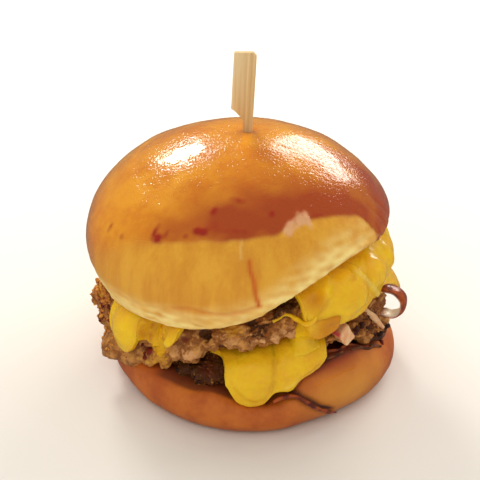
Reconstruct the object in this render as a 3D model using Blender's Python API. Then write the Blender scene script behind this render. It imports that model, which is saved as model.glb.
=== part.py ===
"""A double smash burger in a glossy bun, held together by a bamboo paddle pick.

The origin is the middle of the bottom bun's flat underside. The front, which shows most of the
filling, faces -Y. An azimuth is 0 at the front and grows towards the right, +X.
"""

import math

import bmesh
import bpy
from mathutils import Matrix, Vector, noise

MM = 0.001
SEGMENTS = 64
GAP = 0.4 * MM

# The middle of each layer's top is flat: its height on the axis, and its rise towards the right.
HEEL_TOP = (16.5 * MM, 0.05)
LOWER_PATTY_TOP = (30.0 * MM, 0.22)
UPPER_PATTY_TOP = (49.5 * MM, 0.27)
CHEESE_THICKNESS = 2.4 * MM
FLAT_RADIUS = 34 * MM

# Outlines round the burger are (azimuth in degrees, millimetres), joined by a smooth closed line.
HEEL_RADIUS = (
    (-180, 54), (-90, 53), (-65, 53.5), (-40, 56), (-20, 57.3), (-5, 57), (10, 56), (22, 55),
    (45, 55.5), (65, 56.5), (90, 57), (130, 55.5),
)
HEEL_ROUNDING = 8.5 * MM
HEEL_CREST = 11 * MM
HEEL_EDGE_HEIGHT = (
    (-180, 17), (-90, 16), (-44, 17), (-29, 15.5), (-20, 16.5), (-10, 14.3), (3, 13.8),
    (10, 16), (16, 22), (29, 26.5), (45, 25.5), (62, 20), (80, 17), (120, 17),
)

PATTY_ROUNDING = 7 * MM
PATTY_CRAGS = 3.4 * MM
CRAG_LENGTH = 8 * MM
DROOP_FROM = 43.8 * MM
LOWER_PATTY_RADIUS = (
    (-180, 50), (-120, 48), (-90, 43.5), (-70, 43), (-45, 43.5), (-36, 45), (-29, 47.8),
    (-22, 50), (-10, 50.3), (10, 49.8), (22, 49), (32, 48.2), (42, 48.5), (52, 51), (62, 52.5),
    (78, 53), (90, 52.3), (130, 50),
)
LOWER_PATTY_EDGE_HEIGHT = (
    (-180, 17.8), (-90, 16), (-45, 16.5), (-20, 17.4), (0, 18), (8, 19), (16, 24), (30, 27),
    (45, 26), (62, 21.5), (80, 18.8), (120, 18),
)
UPPER_PATTY_RADIUS = (
    (-180, 51), (-130, 52), (-95, 54.5), (-80, 55.5), (-66, 54), (-50, 54), (-25, 53.5), (0, 53),
    (25, 51.5), (50, 49.5), (85, 48.5), (130, 50),
)
UPPER_PATTY_EDGE_HEIGHT = (
    (-180, 34), (-110, 24), (-85, 20), (-60, 17.8), (-42, 18.6), (-29, 24.5), (-21, 30),
    (-9, 32.2), (0, 34.2), (12, 37.2), (30, 42), (50, 45), (90, 46), (140, 42),
)

LOWER_PATTY = LOWER_PATTY_RADIUS, LOWER_PATTY_EDGE_HEIGHT
UPPER_PATTY = UPPER_PATTY_RADIUS, UPPER_PATTY_EDGE_HEIGHT

# How far down each slice's edge hangs, measured from the height of the patty top that it covers.
LOWER_SLICE_HANG = (
    (-180, 14), (-160, 4), (-135, 1.5), (-110, 0.2), (-90, 0.1), (-25, 0.1), (-18, 2), (-11, 12),
    (-3, 15.8), (4, 12.4), (11, 10.6), (17, 7.2), (23, 5.8), (28, 2), (34, 0.8), (50, 0.4),
    (75, 4), (92, 12), (110, 4), (150, 3),
)
UPPER_SLICE_HANG = (
    (-180, 3), (-140, 14), (-105, 4), (-86, 2), (-76, 4.5), (-67, 12), (-58, 17), (-54, 16),
    (-50, 8), (-46, 2), (-42, 3), (-35, 9), (-27, 1), (-10, 0.4), (8, 0.4), (12, 1.5), (16, 5),
    (20, 10), (25, 13.5), (31, 13.5), (36, 13), (42, 12.5), (50, 10), (60, 8), (90, 3), (130, 15),
    (155, 4),
)
SLICE_CLEARANCE = 2.3 * MM

# The top bun is an ellipsoid that leans to the left, cut along an edge that rises to the right.
BUN_CENTRE = Vector((-5.7, 0.2, 56.0)) * MM
BUN_RADIUS = 57.3 * MM
BUN_RISE = 37.6 * MM
BUN_LEAN = math.radians(4)
BUN_EDGE_HEIGHT = (
    (-180, 52), (-120, 41), (-90, 38), (-65, 38.5), (-45, 41), (-30, 43), (-18, 46.5), (-6, 51),
    (2, 56), (13, 61.5), (25, 65.3), (40, 67.5), (58, 67), (90, 67), (140, 62),
)
BUN_LIP = 2.5 * MM
PROPPED_OPEN = (
    (-180, 0), (-60, 0), (-12, 0), (0, 2.2), (13, 5.2), (24, 6.2), (36, 5.6), (49, 4), (62, 2),
    (85, 0),
)
PROPPED_FROM, PROPPED_TO = FLAT_RADIUS, 54 * MM

# The pick is a flat strip of bamboo, cut to a paddle above and a point below.
PICK_PLACE = Vector((-4.0, 8.7, 19.0)) * MM
PICK_TURN = math.radians(-6)
PICK_LENGTH = 105 * MM
PICK_THICKNESS = 2.2 * MM
SHAFT_WIDTH = 3.6 * MM
PADDLE_LENGTH = 22.5 * MM
PADDLE_OVERHANG = 4.7 * MM
PADDLE_CHAMFER = 1.4 * MM
SHOULDER_LENGTH = 4.2 * MM
POINT_LENGTH = 12 * MM
POINT_WIDTH = 0.8 * MM

DICE_SIZE = Vector((5.8, 5.6, 7.0)) * MM
DICE_AZIMUTH = math.radians(34.8)
DICE_RADIUS = 51.0 * MM
DICE_HEIGHT = 36.3 * MM

LOOP_AZIMUTH = math.radians(62)
LOOP_RADIUS = 55.2 * MM
LOOP_HEIGHT = 40 * MM
LOOP_OUTER, LOOP_WALL, LOOP_WIDTH = 6.2 * MM, 1.8 * MM, 6.5 * MM
LOOP_LEG = 3.4 * MM

STRAND_RADIUS = 0.85 * MM
STRAND_CLEARANCE = 0.9 * MM
STRAND_START_RADIUS = 54 * MM
STRAND_ROUTE = ((4, 14.9), (9, 16.8), (13, 16.6), (17, 14.4), (21, 11.2), (26, 8.0), (31, 5.2))


def clear_scene():
    for obj in list(bpy.data.objects):
        bpy.data.objects.remove(obj, do_unlink=True)


def make_collection(name):
    collection = bpy.data.collections.new(name)
    bpy.context.scene.collection.children.link(collection)
    return collection


def make_material(name, colour, roughness):
    material = bpy.data.materials.new(name)
    material.use_nodes = True
    shader = material.node_tree.nodes["Principled BSDF"]
    shader.inputs["Base Color"].default_value = (*colour, 1)
    shader.inputs["Roughness"].default_value = roughness
    shader.inputs["Metallic"].default_value = 0
    return material


def smooth(share):
    share = min(max(share, 0), 1)
    return share * share * (3 - 2 * share)


def mix(first, second, share):
    return first + (second - first) * share


def outline(points, azimuth):
    """The value, in metres, at an azimuth on the smooth closed line through an outline's points."""
    place = (math.degrees(azimuth) + 180) % 360 - 180
    count = len(points)
    after = next((i for i in range(count) if points[i][0] > place), count)

    def point(index):
        turns, inside = divmod(index, count)
        return points[inside][0] + 360 * turns, points[inside][1] * MM

    def slope(index):
        (start, low), (end, high) = point(index - 1), point(index + 1)
        return (high - low) / (end - start)

    (start, low), (end, high) = point(after - 1), point(after)
    span = end - start
    t = (place - start) / span
    bend = slope(after - 1) * span * t * (1 - t) ** 2 - slope(after) * span * t * t * (1 - t)
    return mix(low, high, smooth(t)) + bend


def around(azimuth, radius, height):
    return Vector((radius * math.sin(azimuth), -radius * math.cos(azimuth), height))


def level(face, azimuth, radius):
    """The height of a layer's flat face."""
    return face[0] + face[1] * radius * math.sin(azimuth)


def propped(azimuth, radius):
    """How far the filling's top stands above its flat middle, at the front right."""
    share = (radius - PROPPED_FROM) / (PROPPED_TO - PROPPED_FROM)
    return outline(PROPPED_OPEN, azimuth) * smooth(share)


def upper_face(azimuth, radius):
    return level(UPPER_PATTY_TOP, azimuth, radius) + propped(azimuth, radius)


def lower_face(azimuth, radius):
    return level(LOWER_PATTY_TOP, azimuth, radius)


def heel_face(azimuth, radius):
    return level(HEEL_TOP, azimuth, radius)


def turn(name, material, collection, profile):
    """A closed layer: a sphere whose rings become a profile's points, from the bottom up."""
    rings = len(profile(0.0)) - 1
    bm = bmesh.new()
    bmesh.ops.create_uvsphere(bm, u_segments=SEGMENTS, v_segments=rings, radius=1)
    quads = [face for face in bm.faces if len(face.verts) == 4]
    below = [face for face in quads if face.calc_center_median().z < 0]
    above = [face for face in quads if face.calc_center_median().z > 0]
    # Both faces of a joint between layers are split along the same diagonals.
    bmesh.ops.triangulate(bm, faces=below, quad_method="FIXED")
    bmesh.ops.triangulate(bm, faces=above, quad_method="ALTERNATE")
    for vert in bm.verts:
        ring = round(math.acos(min(max(-vert.co.z, -1), 1)) / math.pi * rings)
        azimuth = math.atan2(vert.co.x, -vert.co.y)
        vert.co = profile(azimuth)[ring]
    bmesh.ops.recalc_face_normals(bm, faces=bm.faces)
    mesh = bpy.data.meshes.new(name)
    bm.to_mesh(mesh)
    bm.free()
    return add_object(name, mesh, material, collection)


def add_object(name, mesh, material, collection):
    mesh.materials.clear()
    mesh.materials.append(material)
    mesh.shade_smooth()
    mesh.set_sharp_from_angle(angle=math.radians(50))
    obj = bpy.data.objects.new(name, mesh)
    collection.objects.link(obj)
    return obj


def heel_radius_at(azimuth, height):
    """The radius of the bottom bun's crust at a height."""
    rise = 2 * height / outline(HEEL_EDGE_HEIGHT, azimuth) - 1
    foot = outline(HEEL_RADIUS, azimuth) - HEEL_ROUNDING
    return foot + HEEL_ROUNDING * math.sqrt(max(1 - rise * rise, 0))


def heel_profile(azimuth):
    edge = outline(HEEL_EDGE_HEIGHT, azimuth)
    foot = outline(HEEL_RADIUS, azimuth) - HEEL_ROUNDING
    points = [Vector((0, 0, 0))]
    for degrees in (-90, -60, -30, 0, 30, 60, 90):
        angle = math.radians(degrees)
        radius = foot + HEEL_ROUNDING * math.cos(angle)
        points.append(around(azimuth, radius, edge / 2 * (1 + math.sin(angle))))
    inner, middle = foot - HEEL_CREST, foot - HEEL_CREST / 2
    height = mix(heel_face(azimuth, middle), edge, 0.35)
    points.append(around(azimuth, middle, height))
    points.append(around(azimuth, inner, heel_face(azimuth, inner)))
    points.append(Vector((0, 0, heel_face(0, 0))))
    return points


def patty_profile(azimuth, patty, bottom, top, flat_to, seed):
    """A patty: flat in the middle, with a craggy round edge that may droop or stand up."""
    radii, edge_heights = patty
    shoulder = outline(radii, azimuth) - PATTY_ROUNDING
    low = outline(edge_heights, azimuth)
    high = top(azimuth, shoulder)
    points = [Vector((0, 0, bottom(0, 0))), around(azimuth, flat_to, bottom(azimuth, flat_to))]
    for degrees in (-90, -60, -32, -8, 16, 40, 65, 90):
        angle = math.radians(degrees)
        radius = shoulder + PATTY_ROUNDING * math.cos(angle)
        height = mix(low, high, (1 + math.sin(angle)) / 2)
        place = around(azimuth, radius, height)
        hollow = max(noise.noise(place / CRAG_LENGTH + Vector((seed, 0, 0))) + 0.1, 0)
        points.append(around(azimuth, radius - PATTY_CRAGS * math.cos(angle) * hollow, height))
    middle = mix(FLAT_RADIUS, shoulder, 0.5)
    points.append(around(azimuth, middle, top(azimuth, middle)))
    points.append(around(azimuth, FLAT_RADIUS, top(azimuth, FLAT_RADIUS)))
    points.append(Vector((0, 0, top(0, 0))))
    return points


def lower_patty_profile(azimuth):
    def bottom(azimuth, radius):
        return heel_face(azimuth, radius) + 1.5 * GAP

    return patty_profile(azimuth, LOWER_PATTY, bottom, lower_face, FLAT_RADIUS, 3)


def upper_patty_profile(azimuth):
    def bottom(azimuth, radius):
        return lower_face(azimuth, radius) + CHEESE_THICKNESS + 4 * GAP

    return patty_profile(azimuth, UPPER_PATTY, bottom, upper_face, DROOP_FROM, 11)


def slice_side(azimuth, patty, hang, under, outward):
    """One face of a slice, from the flat middle out over the patty's shoulder and down."""
    radii, edge_heights = patty
    shoulder = outline(radii, azimuth) - PATTY_ROUNDING
    half_height = (under(azimuth, shoulder) - outline(edge_heights, azimuth)) / 2
    drop = outline(hang, azimuth)
    points = [around(azimuth, FLAT_RADIUS, under(azimuth, FLAT_RADIUS) + GAP + outward)]
    middle = mix(FLAT_RADIUS, shoulder, 0.5)
    points.append(around(azimuth, middle, under(azimuth, middle) + GAP + outward))
    centre = under(azimuth, shoulder) - half_height
    bend_out = PATTY_ROUNDING + SLICE_CLEARANCE + outward
    bend_up = half_height + 2 * GAP + outward
    bent = min(drop / half_height, 1)
    for share in (0, 0.35, 0.7, 1):
        angle = bent * share * math.pi / 2
        radius = shoulder + bend_out * math.sin(angle)
        height = centre + bend_up * math.cos(angle)
        points.append(around(azimuth, radius, height))
    spare = max(drop - half_height, 0)
    radius, height = shoulder + bend_out * math.sin(angle), points[-1].z
    for share in (0.5, 1):
        length = share * (spare + 0.6 * MM)
        points.append(
            around(
                azimuth,
                radius + length * math.cos(angle),
                height - length * math.sin(angle),
            )
        )
    return points


def slice_profile(azimuth, patty, hang, under):
    inner = slice_side(azimuth, patty, hang, under, 0)
    outer = slice_side(azimuth, patty, hang, under, CHEESE_THICKNESS)
    bottom = Vector((0, 0, under(0, 0) + GAP))
    top = bottom + Vector((0, 0, CHEESE_THICKNESS))
    return [bottom, *inner, *reversed(outer), top]


def lower_slice_profile(azimuth):
    return slice_profile(azimuth, LOWER_PATTY, LOWER_SLICE_HANG, lower_face)


def upper_slice_profile(azimuth):
    return slice_profile(azimuth, UPPER_PATTY, UPPER_SLICE_HANG, upper_face)


def bun_point(azimuth, latitude):
    """A point on the top bun's ellipsoid."""
    flat = around(azimuth, BUN_RADIUS * math.cos(latitude), BUN_RISE * math.sin(latitude))
    return BUN_CENTRE + Matrix.Rotation(-BUN_LEAN, 3, "Y") @ flat


def bun_edge(azimuth):
    """The latitude and the height of the top bun's cut edge."""
    side = bun_point(azimuth, 0)
    height = outline(BUN_EDGE_HEIGHT, math.atan2(side.x, -side.y))
    return math.asin((height + BUN_LIP / 2 - side.z) / BUN_RISE), height


def bun_profile(azimuth):
    def under(azimuth, radius):
        return upper_face(azimuth, radius) + CHEESE_THICKNESS + 3 * GAP

    latitude, edge = bun_edge(azimuth)
    shoulder = outline(UPPER_PATTY_RADIUS, azimuth) - PATTY_ROUNDING
    points = [Vector((0, 0, under(0, 0)))]
    for radius in (FLAT_RADIUS, mix(FLAT_RADIUS, shoulder, 0.5), shoulder):
        points.append(around(azimuth, radius, under(azimuth, radius)))
    corner = bun_point(azimuth, latitude)
    lip = around(azimuth, BUN_LIP, 0)
    inside = corner - 1.6 * lip
    inside.z = max(edge, mix(under(azimuth, shoulder), edge, 0.5)) + BUN_LIP / 2
    points.append(inside)
    lowest = corner - 0.7 * lip
    lowest.z = edge
    points.append(lowest)
    rings = 9
    for ring in range(rings):
        points.append(bun_point(azimuth, mix(latitude, math.pi / 2, ring / rings)))
    points.append(bun_point(0, math.pi / 2))
    return points


def make_pick(material, collection):
    half = SHAFT_WIDTH / 2
    paddle = PICK_LENGTH - PADDLE_LENGTH
    corners = (
        (-POINT_WIDTH / 2, 0),
        (POINT_WIDTH / 2, 0),
        (half, POINT_LENGTH),
        (half, PICK_LENGTH - PADDLE_CHAMFER),
        (half - PADDLE_CHAMFER, PICK_LENGTH),
        (-half - PADDLE_OVERHANG, PICK_LENGTH),
        (-half - PADDLE_OVERHANG, paddle),
        (-half - 0.7 * PADDLE_OVERHANG, paddle - 0.2 * SHOULDER_LENGTH),
        (-half, paddle - SHOULDER_LENGTH),
        (-half, POINT_LENGTH),
    )
    curve = bpy.data.curves.new("pick", "CURVE")
    curve.dimensions = "2D"
    curve.fill_mode = "BOTH"
    curve.extrude = PICK_THICKNESS / 2
    spline = curve.splines.new("POLY")
    spline.points.add(len(corners) - 1)
    for point, (across, up) in zip(spline.points, corners):
        point.co = (across, up, 0, 1)
    spline.use_cyclic_u = True
    curve.materials.append(material)
    pick = bpy.data.objects.new("pick", curve)
    pick.location = PICK_PLACE
    pick.rotation_euler = (math.pi / 2, 0, PICK_TURN)
    collection.objects.link(pick)
    return pick


def make_pick_hole(collection):
    """The cutter for the slot that the pick's shaft leaves in the layers."""
    bpy.ops.mesh.primitive_cube_add(size=1)
    hole = bpy.context.object
    hole.name = "pick_hole"
    for owner in list(hole.users_collection):
        owner.objects.unlink(hole)
    collection.objects.link(hole)
    depth = PICK_LENGTH + 2 * GAP
    hole.scale = (SHAFT_WIDTH + 2 * GAP, PICK_THICKNESS + 2 * GAP, depth)
    hole.location = PICK_PLACE + Vector((0, 0, depth / 2 - GAP))
    hole.rotation_euler = (0, 0, PICK_TURN)
    hole.display_type = "WIRE"
    hole.hide_render = True
    return hole


def make_dice(material, collection):
    """A cube of red onion, wedged between the cheese and the lower patty."""
    bm = bmesh.new()
    bmesh.ops.create_cube(bm, size=1)
    for vert in bm.verts:
        vert.co = Vector(a * b for a, b in zip(vert.co, DICE_SIZE))
        vert.co.x *= mix(0.85, 1, vert.co.z > 0)
    bmesh.ops.bevel(
        bm, geom=bm.edges, offset=0.9 * MM, affect="EDGES", segments=2, profile=0.5, material=-1
    )
    mesh = bpy.data.meshes.new("onion_dice")
    bm.to_mesh(mesh)
    bm.free()
    dice = add_object("onion_dice", mesh, material, collection)
    dice.location = around(DICE_AZIMUTH, DICE_RADIUS, DICE_HEIGHT)
    dice.rotation_euler = (math.radians(-8), math.radians(-38), DICE_AZIMUTH)
    return dice


def make_loop(material, collection):
    """A strip of fried onion, folded back on itself, that sticks out at the right."""
    steps = 12
    inner = LOOP_OUTER - LOOP_WALL
    turns = [mix(-math.pi / 2, math.pi / 2, step / steps) for step in range(steps + 1)]
    corners = [(-LOOP_LEG, -LOOP_OUTER)]
    corners += [(LOOP_OUTER * math.cos(a), LOOP_OUTER * math.sin(a)) for a in turns]
    corners += [(-LOOP_LEG, LOOP_OUTER), (-LOOP_LEG, inner)]
    corners += [(inner * math.cos(a), inner * math.sin(a)) for a in reversed(turns)]
    corners += [(-LOOP_LEG, -inner)]
    curve = bpy.data.curves.new("onion_loop", "CURVE")
    curve.dimensions = "2D"
    curve.fill_mode = "BOTH"
    curve.extrude = LOOP_WIDTH / 2
    spline = curve.splines.new("POLY")
    spline.points.add(len(corners) - 1)
    for point, (across, up) in zip(spline.points, corners):
        point.co = (across, up, 0, 1)
    spline.use_cyclic_u = True
    curve.materials.append(material)
    loop = bpy.data.objects.new("onion_loop", curve)
    loop.location = around(LOOP_AZIMUTH, LOOP_RADIUS, LOOP_HEIGHT)
    loop.rotation_euler = (math.pi / 2, 0, LOOP_AZIMUTH - math.pi / 2)
    collection.objects.link(loop)
    return loop


def make_strand(material, collection):
    """A dark strand of fried onion that lies along the tear in the bottom bun."""
    curve = bpy.data.curves.new("onion_strand", "CURVE")
    curve.dimensions = "3D"
    curve.bevel_depth = STRAND_RADIUS
    curve.bevel_resolution = 1
    curve.use_fill_caps = True
    spline = curve.splines.new("POLY")
    spline.points.add(len(STRAND_ROUTE) - 1)
    for point, (degrees, height) in zip(spline.points, STRAND_ROUTE):
        azimuth = math.radians(degrees)
        surface = heel_radius_at(azimuth, height * MM) + STRAND_RADIUS + STRAND_CLEARANCE
        radius = max(surface, STRAND_START_RADIUS)
        point.co = (*around(azimuth, radius, height * MM), 1)
    curve.materials.append(material)
    strand = bpy.data.objects.new("onion_strand", curve)
    collection.objects.link(strand)
    return strand


def main():
    clear_scene()
    burger = make_collection("smash_burger")
    cutters = make_collection("cutters")
    crust = make_material("crust", (0.62, 0.27, 0.06), 0.3)
    meat = make_material("meat", (0.14, 0.055, 0.025), 0.5)
    cheese = make_material("cheese", (0.85, 0.55, 0.03), 0.25)
    onion = make_material("onion", (0.75, 0.42, 0.35), 0.3)
    fried_onion = make_material("fried_onion", (0.25, 0.05, 0.03), 0.25)
    bamboo = make_material("bamboo", (0.68, 0.42, 0.17), 0.55)

    turn("bun_heel", crust, burger, heel_profile)
    layers = [
        turn("patty_lower", meat, burger, lower_patty_profile),
        turn("cheese_lower", cheese, burger, lower_slice_profile),
        turn("patty_upper", meat, burger, upper_patty_profile),
        turn("cheese_upper", cheese, burger, upper_slice_profile),
        turn("bun_top", crust, burger, bun_profile),
    ]
    hole = make_pick_hole(cutters)
    for layer in layers:
        slot = layer.modifiers.new("pick_hole", "BOOLEAN")
        slot.operation = "DIFFERENCE"
        slot.object = hole
    make_pick(bamboo, burger)
    make_dice(onion, burger)
    make_loop(fried_onion, burger)
    make_strand(fried_onion, burger)


main()
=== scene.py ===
"""A double smash burger in a glossy bun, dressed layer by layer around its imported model.

Lengths are metres in the meshes. Outlines, patches and traces are written in degrees of azimuth,
0 at the front and growing towards the right, and in millimetres.
"""

import logging
import math
from collections.abc import Callable
from dataclasses import dataclass, field
from enum import Enum

import bmesh
import bpy
import numpy as np
from mathutils import Matrix, Vector, noise


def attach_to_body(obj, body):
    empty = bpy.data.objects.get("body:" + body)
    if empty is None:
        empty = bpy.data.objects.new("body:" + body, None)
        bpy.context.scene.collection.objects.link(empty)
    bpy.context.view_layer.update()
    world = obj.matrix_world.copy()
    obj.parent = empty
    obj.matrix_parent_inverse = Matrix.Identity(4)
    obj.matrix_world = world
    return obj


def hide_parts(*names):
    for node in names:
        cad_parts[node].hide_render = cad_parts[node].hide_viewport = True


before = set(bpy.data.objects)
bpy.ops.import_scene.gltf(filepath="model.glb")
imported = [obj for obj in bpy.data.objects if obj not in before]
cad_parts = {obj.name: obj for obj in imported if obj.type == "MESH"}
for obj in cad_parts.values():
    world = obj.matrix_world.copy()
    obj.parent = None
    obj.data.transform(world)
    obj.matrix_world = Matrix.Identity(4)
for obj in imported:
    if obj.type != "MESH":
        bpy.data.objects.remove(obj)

MM = 0.001
BODY = "root"
WRAP_RADIUS = 54.0
TUBE_WOBBLE = 0.16 * MM
TUBE_WAVES = 2.2 * MM
WOBBLE_SEED = 1795800613
Colour = tuple[float, float, float]
log = logging.getLogger("burger")


def smooth(share: float) -> float:
    """A soft step from 0 to 1."""
    share = min(max(share, 0.0), 1.0)
    return share * share * (3 - 2 * share)


def soft_step(values: np.ndarray, start: float, end: float) -> np.ndarray:
    """A soft step from 0 at start to 1 at end, for each value."""
    share = np.clip((values - start) / (end - start), 0, 1)
    return share * share * (3 - 2 * share)


def soft_fall(values: np.ndarray, start: float, end: float) -> np.ndarray:
    """A soft step from 1 at start to 0 at end, for each value."""
    return soft_step(-values, -end, -start)


def mix(first: float, second: float, share: float) -> float:
    """The value a share of the way from the first to the second."""
    return first + (second - first) * share


def around(azimuth: float, radius: float, height: float) -> Vector:
    """A point at an azimuth in radians, a distance from the axis and a height."""
    return Vector((radius * math.sin(azimuth), -radius * math.cos(azimuth), height))


@dataclass(frozen=True)
class Outline:
    """A smooth closed line round the burger, through (azimuth, millimetres) points."""

    points: tuple[tuple[float, float], ...]

    def at(self, azimuth: float) -> float:
        """Reads the line.

        Args:
            azimuth: The direction from the axis, in radians.

        Returns:
            The value there, in metres.
        """
        place = (math.degrees(azimuth) + 180) % 360 - 180
        count = len(self.points)
        after = next((i for i in range(count) if self.points[i][0] > place), count)
        (start, low), (end, high) = self._point(after - 1), self._point(after)
        span = end - start
        t = (place - start) / span
        leave = self._slope(after - 1) * span * t * (1 - t) ** 2
        arrive = self._slope(after) * span * t * t * (1 - t)
        return mix(low, high, smooth(t)) + leave - arrive

    def over(self, azimuths: np.ndarray) -> np.ndarray:
        """The values, in metres, at an array of azimuths in radians."""
        steps = 1440
        table = np.array([self.at(2 * math.pi * i / steps) for i in range(steps)])
        place = np.mod(azimuths, 2 * math.pi) / (2 * math.pi) * steps
        return np.interp(place, np.arange(steps + 1), np.append(table, table[0]))

    def _point(self, index: int) -> tuple[float, float]:
        """A point of the line, counted on past its ends."""
        turns, inside = divmod(index, len(self.points))
        return self.points[inside][0] + 360 * turns, self.points[inside][1] * MM

    def _slope(self, index: int) -> float:
        """The line's slope at a point, in metres a degree."""
        (start, low), (end, high) = self._point(index - 1), self._point(index + 1)
        return (high - low) / (end - start)


@dataclass(frozen=True)
class Face:
    """The top of a layer: flat in the middle, rising to the right, propped up where it opens."""

    height: float
    rise: float
    propped: Outline | None = None
    propped_from: float = 34 * MM
    propped_to: float = 54 * MM

    def at(self, azimuth: float, radius: float) -> float:
        """The height of the face at an azimuth in radians and a radius."""
        level = self.height + self.rise * radius * math.sin(azimuth)
        if self.propped is None:
            return level
        share = (radius - self.propped_from) / (self.propped_to - self.propped_from)
        return level + self.propped.at(azimuth) * smooth(share)


@dataclass(frozen=True)
class Patch:
    """A soft-edged oval on a layer's outside, with half its width and half its height."""

    azimuth: float
    height: float
    across: float
    up: float
    amount: float = 1.0
    lean: float = 0.0
    softness: float = 1.5


@dataclass(frozen=True)
class Trace:
    """A soft-edged line on a layer's outside, through (azimuth, height) points."""

    points: tuple[tuple[float, float], ...]
    width: float
    amount: float = 1.0


@dataclass(frozen=True)
class Ripple:
    """Soft waves in a layer's outside, with their length and their depth in millimetres."""

    length: float
    depth: float
    seed: float
    stretch: float = 1.0


class Skin:
    """A closed layer of food: a grid rolled up along a profile, with relief and marks."""

    corner_cuts = 3
    hidden_spacing = 0.15
    seed_step = (3.7, 1.3, 2.9)
    lump_edge = 0.55

    def __init__(self, segments: int, rings: int) -> None:
        """Starts the layer.

        Args:
            segments: The number of columns round the layer.
            rings: The number of bands from its lower pole to its upper pole.
        """
        self.segments = segments
        self.rings = rings
        self.bm = bmesh.new()
        self.marks: dict[str, np.ndarray] = {}

    def form(self, profile: Callable[[float], list[Vector]], fine_from: float) -> None:
        """Rolls a grid up along the profile and closes it.

        Args:
            profile: Gives the points from the lower pole to the upper pole at an azimuth.
            fine_from: The radius in metres outside which the rings lie close together.
        """
        bmesh.ops.create_grid(self.bm, x_segments=self.segments, y_segments=self.rings, size=1)
        columns, border = {}, []
        for vert in self.bm.verts:
            column = round((vert.co.x + 1) / 2 * self.segments)
            ring = round((vert.co.y + 1) / 2 * self.rings)
            if column not in columns:
                azimuth = 2 * math.pi * (column % self.segments) / self.segments
                columns[column] = self._column(profile(azimuth), fine_from)
            vert.co = columns[column][ring]
            if column in (0, self.segments) or ring in (0, self.rings):
                border.append(vert)
        bmesh.ops.remove_doubles(self.bm, verts=border, dist=0.001 * MM)
        bmesh.ops.recalc_face_normals(self.bm, faces=self.bm.faces)
        self._measure()

    def _column(self, points: list[Vector], fine_from: float) -> np.ndarray:
        """Rounds a profile's corners and spaces the rings along it.

        Args:
            points: The profile's points.
            fine_from: The radius outside which the rings lie close together.

        Returns:
            One point a ring.
        """
        line = np.array([tuple(point) for point in points])
        for _ in range(self.corner_cuts):
            first = line[:-1] * 0.75 + line[1:] * 0.25
            second = line[:-1] * 0.25 + line[1:] * 0.75
            middle = np.stack([first, second], axis=1).reshape(-1, 3)
            line = np.concatenate([line[:1], middle, line[-1:]])
        radius = np.hypot(line[:, 0], line[:, 1])
        outside = (radius[1:] + radius[:-1]) / 2 > fine_from
        lengths = np.linalg.norm(np.diff(line, axis=0), axis=1)
        lengths = lengths * np.where(outside, 1, self.hidden_spacing)
        run = np.concatenate([[0], np.cumsum(lengths)])
        places = np.linspace(0, run[-1], self.rings + 1)
        return np.stack([np.interp(places, run, line[:, axis]) for axis in range(3)], axis=1)

    def _measure(self) -> None:
        """Reads where each point is and which way it faces."""
        self.bm.normal_update()
        self.co = np.array([tuple(vert.co) for vert in self.bm.verts])
        self.normal = np.array([tuple(vert.normal) for vert in self.bm.verts])
        self.azimuth = np.arctan2(self.co[:, 0], -self.co[:, 1])
        self.height = self.co[:, 2] / MM
        self.radius = np.hypot(self.co[:, 0], self.co[:, 1]) / MM

    def patch(self, patch: Patch) -> np.ndarray:
        """How much of a patch each point takes, from 0 to its amount."""
        turn = np.degrees(self.azimuth) - patch.azimuth
        across = np.radians((turn + 180) % 360 - 180) * WRAP_RADIUS
        up = self.height - patch.height
        lean = math.radians(patch.lean)
        along = across * math.cos(lean) + up * math.sin(lean)
        over = up * math.cos(lean) - across * math.sin(lean)
        reach = (along / patch.across) ** 2 + (over / patch.up) ** 2
        return patch.amount * np.clip(1 - reach, 0, 1) ** patch.softness

    def patches(self, patches: tuple[Patch, ...]) -> np.ndarray:
        """The sum of several patches."""
        return sum((self.patch(patch) for patch in patches), np.zeros(len(self.co)))

    def trace(self, trace: Trace) -> np.ndarray:
        """How much of a trace each point takes, from 0 to its amount."""
        here = np.stack([self.azimuth * WRAP_RADIUS, self.height], axis=1)
        line = [(math.radians(a) * WRAP_RADIUS, h) for a, h in trace.points]
        nearest = np.full(len(here), 1e9)
        for start, end in zip(np.array(line[:-1]), np.array(line[1:])):
            way = end - start
            share = np.clip((here - start) @ way / (way @ way), 0, 1)
            off = here - start - share[:, None] * way
            nearest = np.minimum(nearest, np.hypot(off[:, 0], off[:, 1]))
        return trace.amount * np.exp(-((nearest / trace.width) ** 2))

    def traces(self, traces: tuple[Trace, ...]) -> np.ndarray:
        """The sum of several traces."""
        return sum((self.trace(trace) for trace in traces), np.zeros(len(self.co)))

    def waves(self, size: float, seed: float, stretch: float = 1.0) -> np.ndarray:
        """Smooth noise.

        Args:
            size: The length of its waves, in millimetres.
            seed: Picks the pattern.
            stretch: How many times longer the waves are upwards than round the burger.

        Returns:
            A value from about -1 to 1 for each point.
        """
        scale = np.array([1, 1, 1 / stretch]) / (size * MM)
        offset = seed * np.array(self.seed_step)
        return np.array([noise.noise(point) for point in (self.co * scale + offset).tolist()])

    def ripples(self, ripples: tuple[Ripple, ...], seed: float = 0) -> np.ndarray:
        """The sum of several ripples in millimetres, with a seed added to each one's own."""
        total = np.zeros(len(self.co))
        for ripple in ripples:
            waves = self.waves(ripple.length, ripple.seed + seed, ripple.stretch)
            total = total + ripple.depth * waves
        return total

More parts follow.
